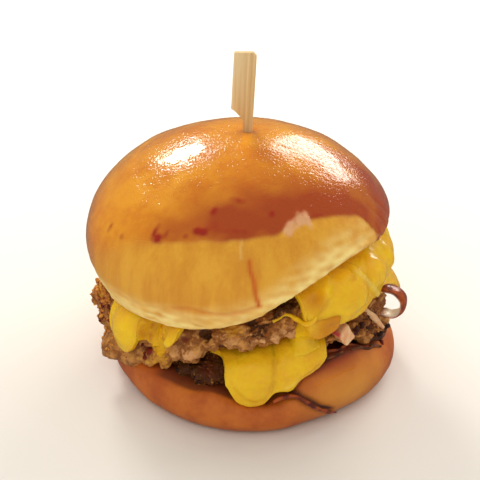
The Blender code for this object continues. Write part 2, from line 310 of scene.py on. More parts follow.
    def lumps(self, size: float, seed: float) -> tuple[np.ndarray, np.ndarray]:
        """Rounded lumps.

        Args:
            size: The usual distance between lumps, in millimetres.
            seed: Picks the pattern.

        Returns:
            1 in the middle of each lump and 0 in the gaps, and a tone for each whole lump.
        """
        found = [noise.voronoi(place) for place in (self.co / (size * MM) + seed * 5.1).tolist()]
        near = np.array([distances[:2] for distances, _ in found])
        tone = np.array([noise.noise(centres[0] * 3.3) for _, centres in found])
        return soft_step(near[:, 1] - near[:, 0], 0, self.lump_edge), tone

    def push(self, amount: np.ndarray) -> None:
        """Moves each point outwards by its amount in millimetres."""
        self.co = self.co + self.normal * (amount * MM)[:, None]
        for vert, place in zip(self.bm.verts, self.co.tolist()):
            vert.co = place
        self._measure()

    def mark(self, name: str, values: np.ndarray) -> None:
        """Keeps a value from 0 to 1 for each point, under a name that the finish reads."""
        self.marks[name] = np.clip(values, 0, 1)

    def piece(self, name: str, material: bpy.types.Material) -> bpy.types.Object:
        """Turns the layer into an object.

        Args:
            name: The object's name.
            material: Its finish.

        Returns:
            The new object, in the scene.
        """
        obj = finished(name, self.bm, material)
        for mark, values in self.marks.items():
            layer = obj.data.attributes.new(mark, "FLOAT", "POINT")
            layer.data.foreach_set("value", values.astype(np.float32))
        return obj


def finished(name: str, bm: bmesh.types.BMesh, material: bpy.types.Material) -> bpy.types.Object:
    """Makes an object of a bmesh, shaded smooth, and frees the bmesh.

    Args:
        name: The object's name.
        bm: The shape, with its place in its points.
        material: The finish.

    Returns:
        The new object, in the scene.
    """
    mesh = bpy.data.meshes.new(name)
    bm.to_mesh(mesh)
    bm.free()
    mesh.materials.append(material)
    mesh.shade_smooth()
    obj = bpy.data.objects.new(name, mesh)
    bpy.context.scene.collection.objects.link(obj)
    return obj


class Graph:
    """A shader tree, built node by node. The same class fills materials and groups."""

    def __init__(self, tree: bpy.types.NodeTree) -> None:
        """Takes the tree to build in."""
        self.tree = tree

    def add(self, kind: str, inputs: dict | None = None, **settings) -> bpy.types.Node:
        """Adds a node.

        Args:
            kind: The node's type, without its ShaderNode prefix.
            inputs: For each input, by name or number, a value or the output that feeds it.
            settings: The node's own properties.

        Returns:
            The new node.
        """
        node = self.tree.nodes.new("ShaderNode" + kind)
        for key, value in settings.items():
            setattr(node, key, value)
        for key, value in (inputs or {}).items():
            self.feed(node.inputs[key], value)
        return node

    def feed(self, socket: bpy.types.NodeSocket, value: object) -> None:
        """Sets a socket's value, or links an output to it."""
        if isinstance(value, bpy.types.NodeSocket):
            self.tree.links.new(value, socket)
        elif socket.type == "RGBA":
            socket.default_value = (*value, 1)
        else:
            socket.default_value = value

    def mark(self, name: str) -> bpy.types.NodeSocket:
        """The value of a mark on the piece's points."""
        return self.add("Attribute", attribute_name=name).outputs["Fac"]

    def place(self) -> bpy.types.NodeSocket:
        """Object coordinates, in metres."""
        return self.add("TexCoord").outputs["Object"]

    def stretched(self, place: bpy.types.NodeSocket, scale: Colour) -> bpy.types.NodeSocket:
        """Coordinates scaled by an amount along each axis."""
        return self.add("Mapping", {"Vector": place, "Scale": scale}).outputs["Vector"]

    def noise(self, place: bpy.types.NodeSocket, scale: float, detail: float = 2.0) -> bpy.types.NodeSocket:
        """Noise from 0 to 1 at a scale in waves a metre."""
        inputs = {"Vector": place, "Scale": scale, "Detail": detail}
        return self.add("TexNoise", inputs).outputs["Fac"]

    def math(self, operation: str, *values: object) -> bpy.types.NodeSocket:
        """The result of an operation on values or outputs."""
        node = self.add("Math", dict(enumerate(values)), operation=operation)
        return node.outputs["Value"]

    def ramp(self, value: bpy.types.NodeSocket, start: float, end: float) -> bpy.types.NodeSocket:
        """A soft step from 0 to 1 as the value goes from start to end."""
        inputs = {"Value": value, "From Min": start, "From Max": end}
        return self.add("MapRange", inputs, interpolation_type="SMOOTHSTEP").outputs["Result"]

    def span(self, value: bpy.types.NodeSocket, low: float, high: float) -> bpy.types.NodeSocket:
        """A value from 0 to 1 spread over low to high."""
        inputs = {"Value": value, "To Min": low, "To Max": high}
        return self.add("MapRange", inputs).outputs["Result"]

    def blend(self, share: object, first: object, second: object) -> bpy.types.NodeSocket:
        """A colour that goes from the first to the second as the share goes from 0 to 1."""
        node = self.add("Mix", data_type="RGBA")
        self.feed(node.inputs[0], share)
        self.feed(node.inputs[6], first)
        self.feed(node.inputs[7], second)
        return node.outputs[2]

    def bump(self, height: bpy.types.NodeSocket, depth: float) -> bpy.types.NodeSocket:
        """A normal bent by a height map with a depth in metres."""
        return self.add("Bump", {"Height": height, "Distance": depth}).outputs["Normal"]


class Effect(Enum):
    """The shared surface effects, each one a node group."""

    MOTTLE = "mottle"
    PORES = "pores"
    FIBRE = "fibre"


class Effects:
    """Builds each shared effect once, and places it in a material."""

    def __init__(self) -> None:
        """Builds the groups."""
        self.groups = {
            Effect.MOTTLE: self._mottle(),
            Effect.PORES: self._pores(),
            Effect.FIBRE: self._fibre(),
        }

    def use(self, graph: Graph, effect: Effect, inputs: dict) -> bpy.types.NodeSocket:
        """Places an effect.

        Args:
            graph: The material's tree.
            effect: Which effect.
            inputs: The values or outputs for the group's named inputs.

        Returns:
            The group's output.
        """
        node = graph.add("Group", node_tree=self.groups[effect])
        for key, value in inputs.items():
            graph.feed(node.inputs[key], value)
        return node.outputs[0]

    def _start(
        self, name: str, inputs: dict[str, str], output: tuple[str, str]
    ) -> tuple[Graph, bpy.types.Node]:
        """Starts a group.

        Args:
            name: The group's name.
            inputs: The kind of each named input.
            output: The output's name and kind.

        Returns:
            The group's graph and its input node.
        """
        tree = bpy.data.node_groups.new(name, "ShaderNodeTree")
        for key, kind in inputs.items():
            tree.interface.new_socket(key, in_out="INPUT", socket_type="NodeSocket" + kind)
        tree.interface.new_socket(output[0], in_out="OUTPUT", socket_type="NodeSocket" + output[1])
        return Graph(tree), tree.nodes.new("NodeGroupInput")

    def _end(self, graph: Graph, result: bpy.types.NodeSocket) -> bpy.types.NodeTree:
        """Links a group's result to its output, and returns the group."""
        out = graph.tree.nodes.new("NodeGroupOutput")
        graph.tree.links.new(result, out.inputs[0])
        return graph.tree

    def _mottle(self) -> bpy.types.NodeTree:
        """Two colours in uneven clouds with fine flecks."""
        inputs = {"Place": "Vector", "Scale": "Float", "First": "Color", "Second": "Color"}
        graph, source = self._start("mottle", inputs, ("Colour", "Color"))
        place, scale = source.outputs["Place"], source.outputs["Scale"]
        clouds = graph.add("TexNoise", {"Vector": place, "Scale": scale, "Detail": 5.0})
        fine = graph.math("MULTIPLY", scale, 6.0)
        flecks = graph.add("TexNoise", {"Vector": place, "Scale": fine, "Detail": 2.0})
        both = graph.math("ADD", clouds.outputs["Fac"], graph.span(flecks.outputs["Fac"], -0.12, 0.12))
        share = graph.ramp(both, 0.3, 0.7)
        return self._end(graph, graph.blend(share, source.outputs["First"], source.outputs["Second"]))

    def _pores(self) -> bpy.types.NodeTree:
        """A skin's fine dimples, as on orange peel."""
        inputs = {"Place": "Vector", "Scale": "Float"}
        graph, source = self._start("pores", inputs, ("Height", "Float"))
        place, scale = source.outputs["Place"], source.outputs["Scale"]
        soft = graph.add("TexNoise", {"Vector": place, "Scale": scale, "Detail": 2.0})
        cells = graph.add("TexVoronoi", {"Vector": place, "Scale": scale}, feature="SMOOTH_F1")
        pits = graph.ramp(cells.outputs["Distance"], 0.0, 0.35)
        return self._end(graph, graph.math("ADD", soft.outputs["Fac"], graph.span(pits, 0, 0.5)))

    def _fibre(self) -> bpy.types.NodeTree:
        """Streaks along the stretched direction of the coordinates."""
        inputs = {"Place": "Vector", "Scale": "Float"}
        graph, source = self._start("fibre", inputs, ("Height", "Float"))
        place, scale = source.outputs["Place"], source.outputs["Scale"]
        broad = graph.add("TexNoise", {"Vector": place, "Scale": scale, "Detail": 4.0})
        fine = graph.math("MULTIPLY", scale, 3.5)
        thin = graph.add("TexNoise", {"Vector": place, "Scale": fine, "Detail": 2.0})
        faint = graph.span(thin.outputs["Fac"], 0, 0.5)
        return self._end(graph, graph.math("ADD", broad.outputs["Fac"], faint))


@dataclass(frozen=True)
class Finish:
    """What every finish has: its name, the shader's plain values and the scales of its patterns.

    The clouds of colour and the grain are in waves a metre, the grain's depth is in metres, and
    the roughness goes from the first value to the second as its mask goes from 0 to 1.
    """

    name: str
    clouds: float = 300.0
    grain: float = 800.0
    depth: float = 0.2 * MM
    roughness: tuple[float, float] = (0.2, 0.4)
    specular: float = 0.5
    coat_roughness: float = 0.1
    subsurface: float = 0.0
    subsurface_radius: Colour = (1.0, 0.5, 0.2)
    subsurface_scale: float = 2 * MM

    def start(self) -> tuple[bpy.types.Material, Graph, bpy.types.Node]:
        """Makes the material.

        Returns:
            The material, its graph and its shader.
        """
        material = bpy.data.materials.new(self.name)
        material.use_nodes = True
        shader = material.node_tree.nodes["Principled BSDF"]
        shader.inputs["Specular IOR Level"].default_value = self.specular
        shader.inputs["Coat Roughness"].default_value = self.coat_roughness
        if self.subsurface:
            shader.inputs["Subsurface Weight"].default_value = self.subsurface
            shader.inputs["Subsurface Radius"].default_value = self.subsurface_radius
            shader.inputs["Subsurface Scale"].default_value = self.subsurface_scale
        return material, Graph(material.node_tree), shader

    def cloudy(
        self, effects: Effects, graph: Graph, place: bpy.types.NodeSocket, first: Colour, second: Colour
    ) -> bpy.types.NodeSocket:
        """Two colours in clouds of this finish's own size."""
        inputs = {"Place": place, "Scale": self.clouds, "First": first, "Second": second}
        return effects.use(graph, Effect.MOTTLE, inputs)

    def marked(
        self, graph: Graph, colour: bpy.types.NodeSocket, *names: str
    ) -> bpy.types.NodeSocket:
        """A colour with this finish's own colours over it, where the marks of their names are."""
        for name in names:
            colour = graph.blend(graph.mark(name), colour, getattr(self, name))
        return colour

    def end(
        self, graph: Graph, shader: bpy.types.Node, colour: bpy.types.NodeSocket,
        dull: bpy.types.NodeSocket, relief: bpy.types.NodeSocket,
    ) -> None:
        """Feeds the shader.

        Args:
            graph: The material's graph.
            shader: The material's shader.
            colour: The colour.
            dull: The mask that takes the roughness from its first value to its second.
            relief: The height map of the grain.
        """
        graph.feed(shader.inputs["Base Color"], colour)
        graph.feed(shader.inputs["Roughness"], graph.span(dull, *self.roughness))
        graph.feed(shader.inputs["Normal"], graph.bump(relief, self.depth))


@dataclass(frozen=True)
class TopCrust(Finish):
    """The top bun: a glazed brown dome over a pale soft side with a torn rim, and painted shade darkening
    the dome's front and right.
    """

    clouds: float = 70.0
    side_clouds: float = 160.0
    grain: float = 850.0
    depth: float = 0.16 * MM
    streaks: float = 700.0
    streak_depth: float = 0.05 * MM
    roughness: tuple[float, float] = (0.55, 0.13)
    coat: tuple[float, float] = (0.0, 0.35)
    golden: Colour = (0.82, 0.33, 0.016)
    amber: Colour = (0.68, 0.21, 0.012)
    # Dark red-brown for real toasting, and painted shade on the dome's front and right, which face away
    # from the back lights.
    toasted_and_shaded: Colour = (0.40, 0.062, 0.010)
    pale: Colour = (0.80, 0.385, 0.026)
    pale_deep: Colour = (0.70, 0.285, 0.014)
    rim: Colour = (1.0, 0.76, 0.26)
    blister: Colour = (0.34, 0.020, 0.006)
    flake: Colour = (0.80, 0.42, 0.20)
    # A darker red painted as shade in the fissure and in the side's first fold.
    shaded_fissure: Colour = (0.66, 0.14, 0.008)

    def make(self, effects: Effects) -> bpy.types.Material:
        """Builds the material from the shared effects."""
        material, graph, shader = self.start()
        place = graph.place()
        lit = self.cloudy(effects, graph, place, self.golden, self.amber)
        # Toasting and painted shade take the dome towards the darker colour.
        brown = graph.blend(graph.mark("toast_and_shade"), lit, self.toasted_and_shaded)
        upright = graph.stretched(place, (1, 1, 0.15))
        tones = {"First": self.pale, "Second": self.pale_deep}
        side = effects.use(
            graph, Effect.MOTTLE, {"Place": upright, "Scale": self.side_clouds, **tones}
        )
        side = self.marked(graph, side, "rim", "shaded_fissure")
        side = graph.blend(graph.mark("crease"), side, self.rim)
        browned = graph.mark("browned")
        colour = self.marked(graph, graph.blend(browned, side, brown), "blister", "flake")
        graph.feed(shader.inputs["Base Color"], colour)
        graph.feed(shader.inputs["Roughness"], graph.span(browned, *self.roughness))
        graph.feed(shader.inputs["Coat Weight"], graph.span(browned, *self.coat))
        pores = effects.use(graph, Effect.PORES, {"Place": place, "Scale": self.grain})
        streaks = effects.use(graph, Effect.FIBRE, {"Place": upright, "Scale": self.streaks})
        skin = graph.bump(pores, self.depth)
        inputs = {"Height": streaks, "Distance": self.streak_depth, "Normal": skin}
        graph.feed(shader.inputs["Normal"], graph.add("Bump", inputs).outputs["Normal"])
        return material


@dataclass(frozen=True)
class BottomCrust(Finish):
    """The bottom bun: a soft satin crust, redder and darker near the filling and in its tear, which is
    painted shade.
    """

    clouds: float = 90.0
    depth: float = 0.1 * MM
    roughness: tuple[float, float] = (0.46, 0.16)
    first: Colour = (0.60, 0.155, 0.013)
    second: Colour = (0.46, 0.092, 0.008)
    lobe: Colour = (0.74, 0.30, 0.028)
    # A dark red painted as shade on the heel's top, under the filling.
    filling_shade: Colour = (0.36, 0.06, 0.010)
    # Near-black painted shade in the tear and along the heel's top edge under the filling.
    shaded_tear: Colour = (0.10, 0.02, 0.01)
    under: Colour = (0.55, 0.24, 0.07)

    def make(self, effects: Effects) -> bpy.types.Material:
        """Builds the material from the shared effects."""
        material, graph, shader = self.start()
        place = graph.place()
        colour = self.cloudy(effects, graph, place, self.first, self.second)
        colour = self.marked(graph, colour, "lobe", "filling_shade", "shaded_tear", "under")
        pores = effects.use(graph, Effect.PORES, {"Place": place, "Scale": self.grain})
        self.end(graph, shader, colour, graph.mark("gloss"), pores)
        return material


@dataclass(frozen=True)
class Meat(Finish):
    """Smashed ground meat: tan and grainy inside, dark and wet where it is seared, and darkened with
    painted shade in its gaps and recesses.
    """

    clouds: float = 420.0
    flecks: float = 800.0
    grain: float = 1100.0
    depth: float = 0.35 * MM
    roughness: tuple[float, float] = (0.55, 0.14)
    specular: float = 0.3
    tan: Colour = (0.66, 0.30, 0.072)
    pale: Colour = (0.74, 0.38, 0.155)
    brown: Colour = (0.28, 0.092, 0.018)
    # Near-black for burnt crust, and painted shade in the meat's crevices.
    char_and_shade: Colour = (0.075, 0.023, 0.006)
    stain: Colour = (0.66, 0.31, 0.020)
    red: Colour = (0.13, 0.012, 0.008)

    def make(self, effects: Effects) -> bpy.types.Material:
        """Builds the material from the shared effects."""
        material, graph, shader = self.start()
        place = graph.place()
        light = self.cloudy(effects, graph, place, self.tan, self.brown)
        light = self.marked(graph, light, "pale")
        fleck = graph.span(graph.noise(place, self.flecks, 4.0), -0.7, 0.7)
        # Searing and painted shade darken the meat towards brown, then near-black.
        sear_and_shade = graph.ramp(graph.math("ADD", graph.mark("sear_and_shade"), fleck), 0.3, 0.75)
        colour = graph.blend(sear_and_shade, light, self.brown)
        burnt_and_shaded = graph.ramp(graph.math("ADD", graph.mark("char_and_shade"), fleck), 0.35, 0.75)
        colour = graph.blend(burnt_and_shaded, colour, self.char_and_shade)
        stained = graph.ramp(graph.math("ADD", graph.mark("stain"), fleck), 0.3, 0.8)
        colour = graph.blend(stained, colour, self.stain)
        colour = self.marked(graph, colour, "red")
        wet = graph.ramp(graph.math("ADD", graph.mark("wet"), fleck), 0.2, 0.8)
        grain = effects.use(graph, Effect.PORES, {"Place": place, "Scale": self.grain})
        self.end(graph, shader, colour, wet, grain)
        return material


@dataclass(frozen=True)
class Cheese(Finish):
    """Melted cheese: glossy and waxy, more orange where it is stretched thin, with painted highlights of
    pale yellow along its ridges.
    """

    clouds: float = 110.0
    patches: float = 220.0
    grain: float = 260.0
    depth: float = 0.5 * MM
    roughness: tuple[float, float] = (0.15, 0.32)
    coat: tuple[float, float] = (0.5, 0.15)
    body: Colour = (0.90, 0.57, 0.012)
    deep: Colour = (0.84, 0.45, 0.010)
    thin: Colour = (0.66, 0.26, 0.004)
    # A pale yellow painted highlight along ridges and edges.
    painted_glint: Colour = (0.95, 0.72, 0.16)

    def make(self, effects: Effects) -> bpy.types.Material:
        """Builds the material from the shared effects."""
        material, graph, shader = self.start()
        place = graph.place()
        colour = self.cloudy(effects, graph, place, self.body, self.deep)
        colour = self.marked(graph, colour, "thin", "painted_glint")
        patchy = graph.ramp(graph.noise(place, self.patches, 3.0), 0.35, 0.65)
        graph.feed(shader.inputs["Coat Weight"], graph.span(patchy, *self.coat))
        self.end(graph, shader, colour, patchy, graph.noise(place, self.grain, 3.0))
        return material


@dataclass(frozen=True)
class StretchedCheese(Finish):
    """Cheese stretched to a film, amber where the meat shows through."""

    clouds: float = 170.0
    grain: float = 420.0
    depth: float = 0.5 * MM
    thick: Colour = (0.88, 0.50, 0.008)
    amber: Colour = (0.68, 0.31, 0.006)
    meaty: Colour = (0.46, 0.17, 0.008)

    def make(self, effects: Effects) -> bpy.types.Material:
        """Builds the material from the shared effects."""
        material, graph, shader = self.start()
        place = graph.place()
        colour = self.cloudy(effects, graph, place, self.thick, self.amber)
        through = graph.ramp(graph.noise(place, self.grain, 4.0), 0.56, 0.76)
        colour = graph.blend(through, colour, self.meaty)
        self.end(graph, shader, colour, through, graph.noise(place, self.grain, 3.0))
        return material


@dataclass(frozen=True)
class RawOnion(Finish):
    """Diced red onion: a purple skin edge over pale wet layers."""

    grain: float = 500.0
    depth: float = 0.12 * MM
    roughness: tuple[float, float] = (0.16, 0.34)
    pale: Colour = (0.88, 0.60, 0.32)
    vein: Colour = (0.80, 0.36, 0.16)
    skin: Colour = (0.60, 0.04, 0.09)

    def make(self, effects: Effects) -> bpy.types.Material:
        """Builds the material from the shared effects."""
        material, graph, shader = self.start()
        place = graph.place()
        layers = graph.stretched(place, (1.0, 0.35, 0.35))
        streaks = effects.use(graph, Effect.FIBRE, {"Place": layers, "Scale": self.grain})
        colour = graph.blend(graph.ramp(streaks, 0.55, 0.95), self.pale, self.vein)
        edge = graph.ramp(graph.mark("skin"), 0.78, 0.98)
        colour = graph.blend(edge, colour, self.skin)
        self.end(graph, shader, colour, streaks, streaks)
        return material


@dataclass(frozen=True)
class FriedOnion(Finish):
    """Fried onion: dark, thin-walled and glossy, with a paler inner face that is partly its inner skin and
    partly a painted highlight.
    """

    grain: float = 700.0
    roughness: tuple[float, float] = (0.1, 0.3)
    dark: Colour = (0.10, 0.016, 0.012)
    amber: Colour = (0.46, 0.09, 0.015)
    # The pale inner face: partly the onion's inner skin, partly a painted highlight.
    inner: Colour = (0.92, 0.80, 0.62)

    def make(self, effects: Effects) -> bpy.types.Material:
        """Builds the material from the shared effects."""
        material, graph, shader = self.start()
        place = graph.place()
        colour = self.cloudy(effects, graph, place, self.dark, self.amber)
        colour = self.marked(graph, colour, "inner")
        ridges = graph.noise(place, self.grain)
        self.end(graph, shader, colour, ridges, ridges)
        return material


@dataclass(frozen=True)
class Bamboo(Finish):
    """Split bamboo with fine upright grain, and a painted highlight along the paddle's left edge."""

    grain: float = 900.0
    depth: float = 0.12 * MM
    roughness: tuple[float, float] = (0.5, 0.65)
    light: Colour = (0.83, 0.60, 0.29)
    dark: Colour = (0.64, 0.38, 0.14)
    # A paler strip painted along the paddle's left edge as a highlight.
    cut: Colour = (0.90, 0.72, 0.42)

    def make(self, effects: Effects) -> bpy.types.Material:
        """Builds the material from the shared effects."""
        material, graph, shader = self.start()
        place = graph.place()
        upright = graph.stretched(place, (1, 1, 0.03))
        grain = effects.use(graph, Effect.FIBRE, {"Place": upright, "Scale": self.grain})
        colour = graph.blend(graph.ramp(grain, 0.45, 1.05), self.light, self.dark)
        colour = self.marked(graph, colour, "cut")
        self.end(graph, shader, colour, grain, grain)
        return material


@dataclass(frozen=True)
class Crumbs(Finish):
    """Crisp crumbs and fried bits."""

    clouds: float = 350.0
    grain: float = 1400.0
    roughness: tuple[float, float] = (0.2, 0.6)
    first: Colour = (0.80, 0.36, 0.045)
    second: Colour = (0.34, 0.07, 0.016)

    def make(self, effects: Effects) -> bpy.types.Material:
        """Builds the material from the shared effects."""
        material, graph, shader = self.start()
        place = graph.place()
        colour = self.cloudy(effects, graph, place, self.first, self.second)
        grain = effects.use(graph, Effect.PORES, {"Place": place, "Scale": self.grain})
        self.end(graph, shader, colour, grain, grain)
        return material


@dataclass
class BottomBun:
    """The bottom bun, whose front edge is torn and rises to a lobe at the right."""

    top: Face
    radius: Outline = Outline((
        (-180, 54), (-90, 53), (-65, 53.5), (-40, 56), (-20, 57.3), (-5, 57), (10, 56),
        (22, 55), (45, 55.5), (65, 56.5), (90, 57), (130, 55.5),
    ))
    edge_height: Outline = Outline((
        (-180, 17), (-90, 16), (-44, 17), (-29, 15.5), (-20, 16.5), (-10, 14.3), (3, 13.8),
        (10, 16), (16, 22), (29, 26.5), (45, 25.5), (62, 20), (80, 17), (120, 17),
    ))
    rounding: float = 8.5 * MM
    crest: float = 11 * MM
    shaded_tear: Trace = Trace(((2, 14.2), (9, 16.9), (14, 16.6), (18, 13.9), (23, 9.9), (29, 6.2)), 1.3)
    gloss: Trace = Trace(((21, 19), (26, 20.4), (34, 21.3), (40, 20.9)), 0.6)
    lobe: Patch = Patch(38, 14, 27, 15)
    # Where the dark red painted shade lies along the lobe's crest, under the filling.
    filling_shade: Patch = Patch(31, 26, 24, 5.5, 0.9)
    grid: tuple[int, int] = (360, 130)
    fine_from: float = 36 * MM
    ripples: tuple[Ripple, ...] = (Ripple(17, 0.45, 2), Ripple(4.5, 0.16, 5), Ripple(1.6, 0.05, 8))
    tear_depth: float = 1.5
    gloss_rise: float = 0.4
    lobe_rise: float = 0.7
    off_floor: tuple[float, float] = (0.5, 3.5)

    def radius_at(self, azimuth: float, height: float) -> float:
        """The radius of the crust at an azimuth in radians and a height in metres."""
        rise = 2 * height / self.edge_height.at(azimuth) - 1
        foot = self.radius.at(azimuth) - self.rounding
        return foot + self.rounding * math.sqrt(max(1 - rise * rise, 0))

    def profile(self, azimuth: float) -> list[Vector]:
        """The bun's profile at an azimuth in radians, from the middle of its underside."""
        edge = self.edge_height.at(azimuth)
        foot = self.radius.at(azimuth) - self.rounding
        points = [Vector((0, 0, 0))]
        for degrees in (-90, -75, -60, -45, -30, -15, 0, 15, 30, 45, 60, 75, 90):
            angle = math.radians(degrees)
            radius = foot + self.rounding * math.cos(angle)
            points.append(around(azimuth, radius, edge / 2 * (1 + math.sin(angle))))
        inner, middle = foot - self.crest, foot - self.crest / 2
        points.append(around(azimuth, middle, mix(self.top.at(azimuth, middle), edge, 0.35)))
        points.append(around(azimuth, inner, self.top.at(azimuth, inner)))
        points.append(Vector((0, 0, self.top.at(0, 0))))
        return points

    def build(self, material: bpy.types.Material) -> bpy.types.Object:
        """Builds and dresses the bun.

        Args:
            material: The crust's finish.

        Returns:
            The dressed bun.
        """
        skin = Skin(*self.grid)
        skin.form(self.profile, self.fine_from)
        shaded_tear, gloss = skin.trace(self.shaded_tear), skin.trace(self.gloss)
        relief = skin.ripples(self.ripples) + self.lobe_rise * skin.patch(self.lobe)
        relief = relief - self.tear_depth * shaded_tear + self.gloss_rise * gloss
        skin.push(relief * soft_step(skin.height, *self.off_floor))
        degrees = np.degrees(skin.azimuth)
        crest = self.edge_height.over(skin.azimuth) / MM
        # Painted shade where the heel's top tucks under the filling: the inner slope turns dark red and the
        # top edge near-black, as does the tear.
        inside = soft_step(skin.height, 13, 17) * soft_fall(skin.radius, 49, 52.5)
        right = soft_fall(skin.radius, 49.5, 51.5) * soft_step(degrees, 14, 24)
        right = right * soft_fall(degrees, 85, 110)
        front = soft_fall(skin.radius, 51.5, 53) * soft_step(degrees, -50, -42)
        front = front * soft_fall(degrees, -14, -8)
        tucked_shade = (right + front) * soft_step(skin.height - crest, -7, -2)
        skin.mark("shaded_tear", 1.1 * shaded_tear + 0.75 * tucked_shade)
        skin.mark("gloss", gloss)
        skin.mark("lobe", skin.patch(self.lobe) * (0.75 + 0.4 * skin.waves(12, 3)))
        skin.mark("filling_shade", skin.patch(self.filling_shade) + 0.8 * inside)
        skin.mark("under", 0.5 * soft_fall(skin.height, 0.6, 3.5))
        return skin.piece("crust_bottom_bun", material)


@dataclass
class Patty:
    """A smashed patty with a craggy edge."""

    name: str
    radius: Outline
    edge_height: Outline
    under: Face
    lift: float
    top: Face
    flat_to: float
    seed: int
    lumps: tuple[Patch, ...] = ()
    dark: tuple[Patch, ...] = ()
    pitted: float = 2.2
    pale: tuple[Patch, ...] = ()
    stained: tuple[Patch, ...] = ()
    red: tuple[Patch, ...] = ()
    wet: float = 0.2
    sear_and_shade: float = 0.4
    rounding: float = 7 * MM
    flat_radius: float = 34 * MM
    grid: tuple[int, int] = (520, 170)
    fine_from: float = 40 * MM
    craggy: tuple[float, float] = (38, 44)
    sunk: float = 2.5
    lump_sizes: tuple[float, float] = (7.5, 3.0)
    lump_rises: tuple[float, float] = (1.9, 0.9)
    ripples: tuple[Ripple, ...] = (Ripple(10, 0.7, 0), Ripple(1.7, 0.45, 2))

    def profile(self, azimuth: float) -> list[Vector]:
        """The patty's profile at an azimuth in radians, from the middle of its underside."""
        shoulder = self.radius.at(azimuth) - self.rounding
        low, high = self.edge_height.at(azimuth), self.top.at(azimuth, shoulder)
        bottom = self.under.at(azimuth, self.flat_to) + self.lift
        points = [Vector((0, 0, self.under.at(0, 0) + self.lift))]
        points.append(around(azimuth, self.flat_to, bottom))
        for degrees in (-90, -70, -50, -30, -10, 10, 30, 50, 70, 90):
            angle = math.radians(degrees)
            height = mix(low, high, (1 + math.sin(angle)) / 2)
            points.append(around(azimuth, shoulder + self.rounding * math.cos(angle), height))
        points.append(around(azimuth, self.flat_radius, self.top.at(azimuth, self.flat_radius)))
        points.append(Vector((0, 0, self.top.at(0, 0))))
        return points

    def build(self, material: bpy.types.Material) -> bpy.types.Object:
        """Builds and dresses the patty.

        Args:
            material: The meat's finish.

        Returns:
            The dressed patty.
        """
        skin = Skin(*self.grid)
        skin.form(self.profile, self.fine_from)
        big, tone = skin.lumps(self.lump_sizes[0], self.seed)
        small, spot = skin.lumps(self.lump_sizes[1], self.seed + 1)
        relief = self.lump_rises[0] * big + self.lump_rises[1] * small - self.sunk
        relief = relief + skin.ripples(self.ripples, self.seed)
        relief = relief + skin.patches(self.lumps) - self.pitted * skin.patches(self.dark)
        skin.push(relief * soft_step(skin.radius, *self.craggy))
        crust = 0.7 * tone + 0.5 * spot + 0.4 * skin.waves(3, self.seed + 5)
        dark = skin.patches(self.dark)
        # Painted shade mixed with searing: the gaps between lumps and the dark patches are darkened.
        skin.mark("sear_and_shade", self.sear_and_shade + crust + 0.7 * (0.6 - big) + dark)
        skin.mark("char_and_shade", 1.2 * dark + 0.45 * (0.5 - small) * (1 - big) + 0.12 * crust)
        skin.mark("pale", skin.patches(self.pale) * (0.7 + 0.3 * small + 0.4 * spot))
        skin.mark("stain", skin.patches(self.stained) + 0.12)
        skin.mark("red", skin.patches(self.red))
        skin.mark("wet", self.wet + 0.5 * skin.patches(self.dark) + 0.8 * skin.patches(self.red))
        return skin.piece(self.name, material)


@dataclass
class CheeseSlice:
    """A melted slice that follows its patty's top and hangs over the edge."""

    name: str
    patty: Patty
    hang: Outline
    seed: int
    folds: tuple[Trace, ...] = ()
    swells: tuple[Patch, ...] = ()
    thin: tuple[Patch, ...] = ()
    # Lines of painted highlight along ridges and edges.
    painted_glint: tuple[Trace, ...] = ()
    thickness: float = 2.4 * MM
    clearance: float = 2.3 * MM
    gap: float = 0.4 * MM
    lip: float = 0.6 * MM
    grid: tuple[int, int] = (400, 150)
    fine_from: float = 38 * MM
    hanging: tuple[float, float] = (38, 46)
    ripples: tuple[Ripple, ...] = (
        Ripple(10, 0.75, 0, 1.3), Ripple(4, 0.28, 1), Ripple(3.2, 0.2, 3),
    )

    def side(self, azimuth: float, outward: float) -> list[Vector]:
        """One face of the slice, from the flat middle out over the shoulder and down.

        Args:
            azimuth: The direction from the axis, in radians.
            outward: How far this face lies outside the slice's inner face.

        Returns:
            The points of that face.
        """
        patty = self.patty
        shoulder = patty.radius.at(azimuth) - patty.rounding
        under = patty.top.at(azimuth, shoulder)
        half_height = (under - patty.edge_height.at(azimuth)) / 2
        drop = self.hang.at(azimuth)
        flat = patty.flat_radius
        points = [around(azimuth, flat, patty.top.at(azimuth, flat) + self.gap + outward)]
        middle = mix(flat, shoulder, 0.5)
        points.append(around(azimuth, middle, patty.top.at(azimuth, middle) + self.gap + outward))
        bend_out = patty.rounding + self.clearance + outward
        bend_up = half_height + 2 * self.gap + outward
        bent = min(drop / half_height, 1)
        for share in (0, 0.2, 0.4, 0.6, 0.8, 1):
            angle = bent * share * math.pi / 2
            radius = shoulder + bend_out * math.sin(angle)
            points.append(around(azimuth, radius, under - half_height + bend_up * math.cos(angle)))
        spare = max(drop - half_height, 0) + self.lip
        last = points[-1].z
        for share in (0.35, 0.7, 1):
            out = radius + share * spare * math.cos(angle)
            points.append(around(azimuth, out, last - share * spare * math.sin(angle)))
        return points

    def profile(self, azimuth: float) -> list[Vector]:
        """The slice's profile at an azimuth in radians, from the middle of its underside."""
        bottom = Vector((0, 0, self.patty.top.at(0, 0) + self.gap))
        top = bottom + Vector((0, 0, self.thickness))
        inner, outer = self.side(azimuth, 0), self.side(azimuth, self.thickness)
        return [bottom, *inner, *reversed(outer), top]

    def build(self, material: bpy.types.Material) -> bpy.types.Object:
        """Builds and dresses the slice.

        Args:
            material: The cheese's finish.

        Returns:
            The dressed slice.
        """
        skin = Skin(*self.grid)
        skin.form(self.profile, self.fine_from)
        relief = skin.ripples(self.ripples, self.seed)
        relief = relief + skin.traces(self.folds) + skin.patches(self.swells)
        skin.push(relief * soft_step(skin.radius, *self.hanging))
        skin.mark("thin", skin.patches(self.thin) * (0.8 + 0.4 * skin.waves(5, self.seed + 2)))
        skin.mark("painted_glint", skin.traces(self.painted_glint))
        return skin.piece(self.name, material)


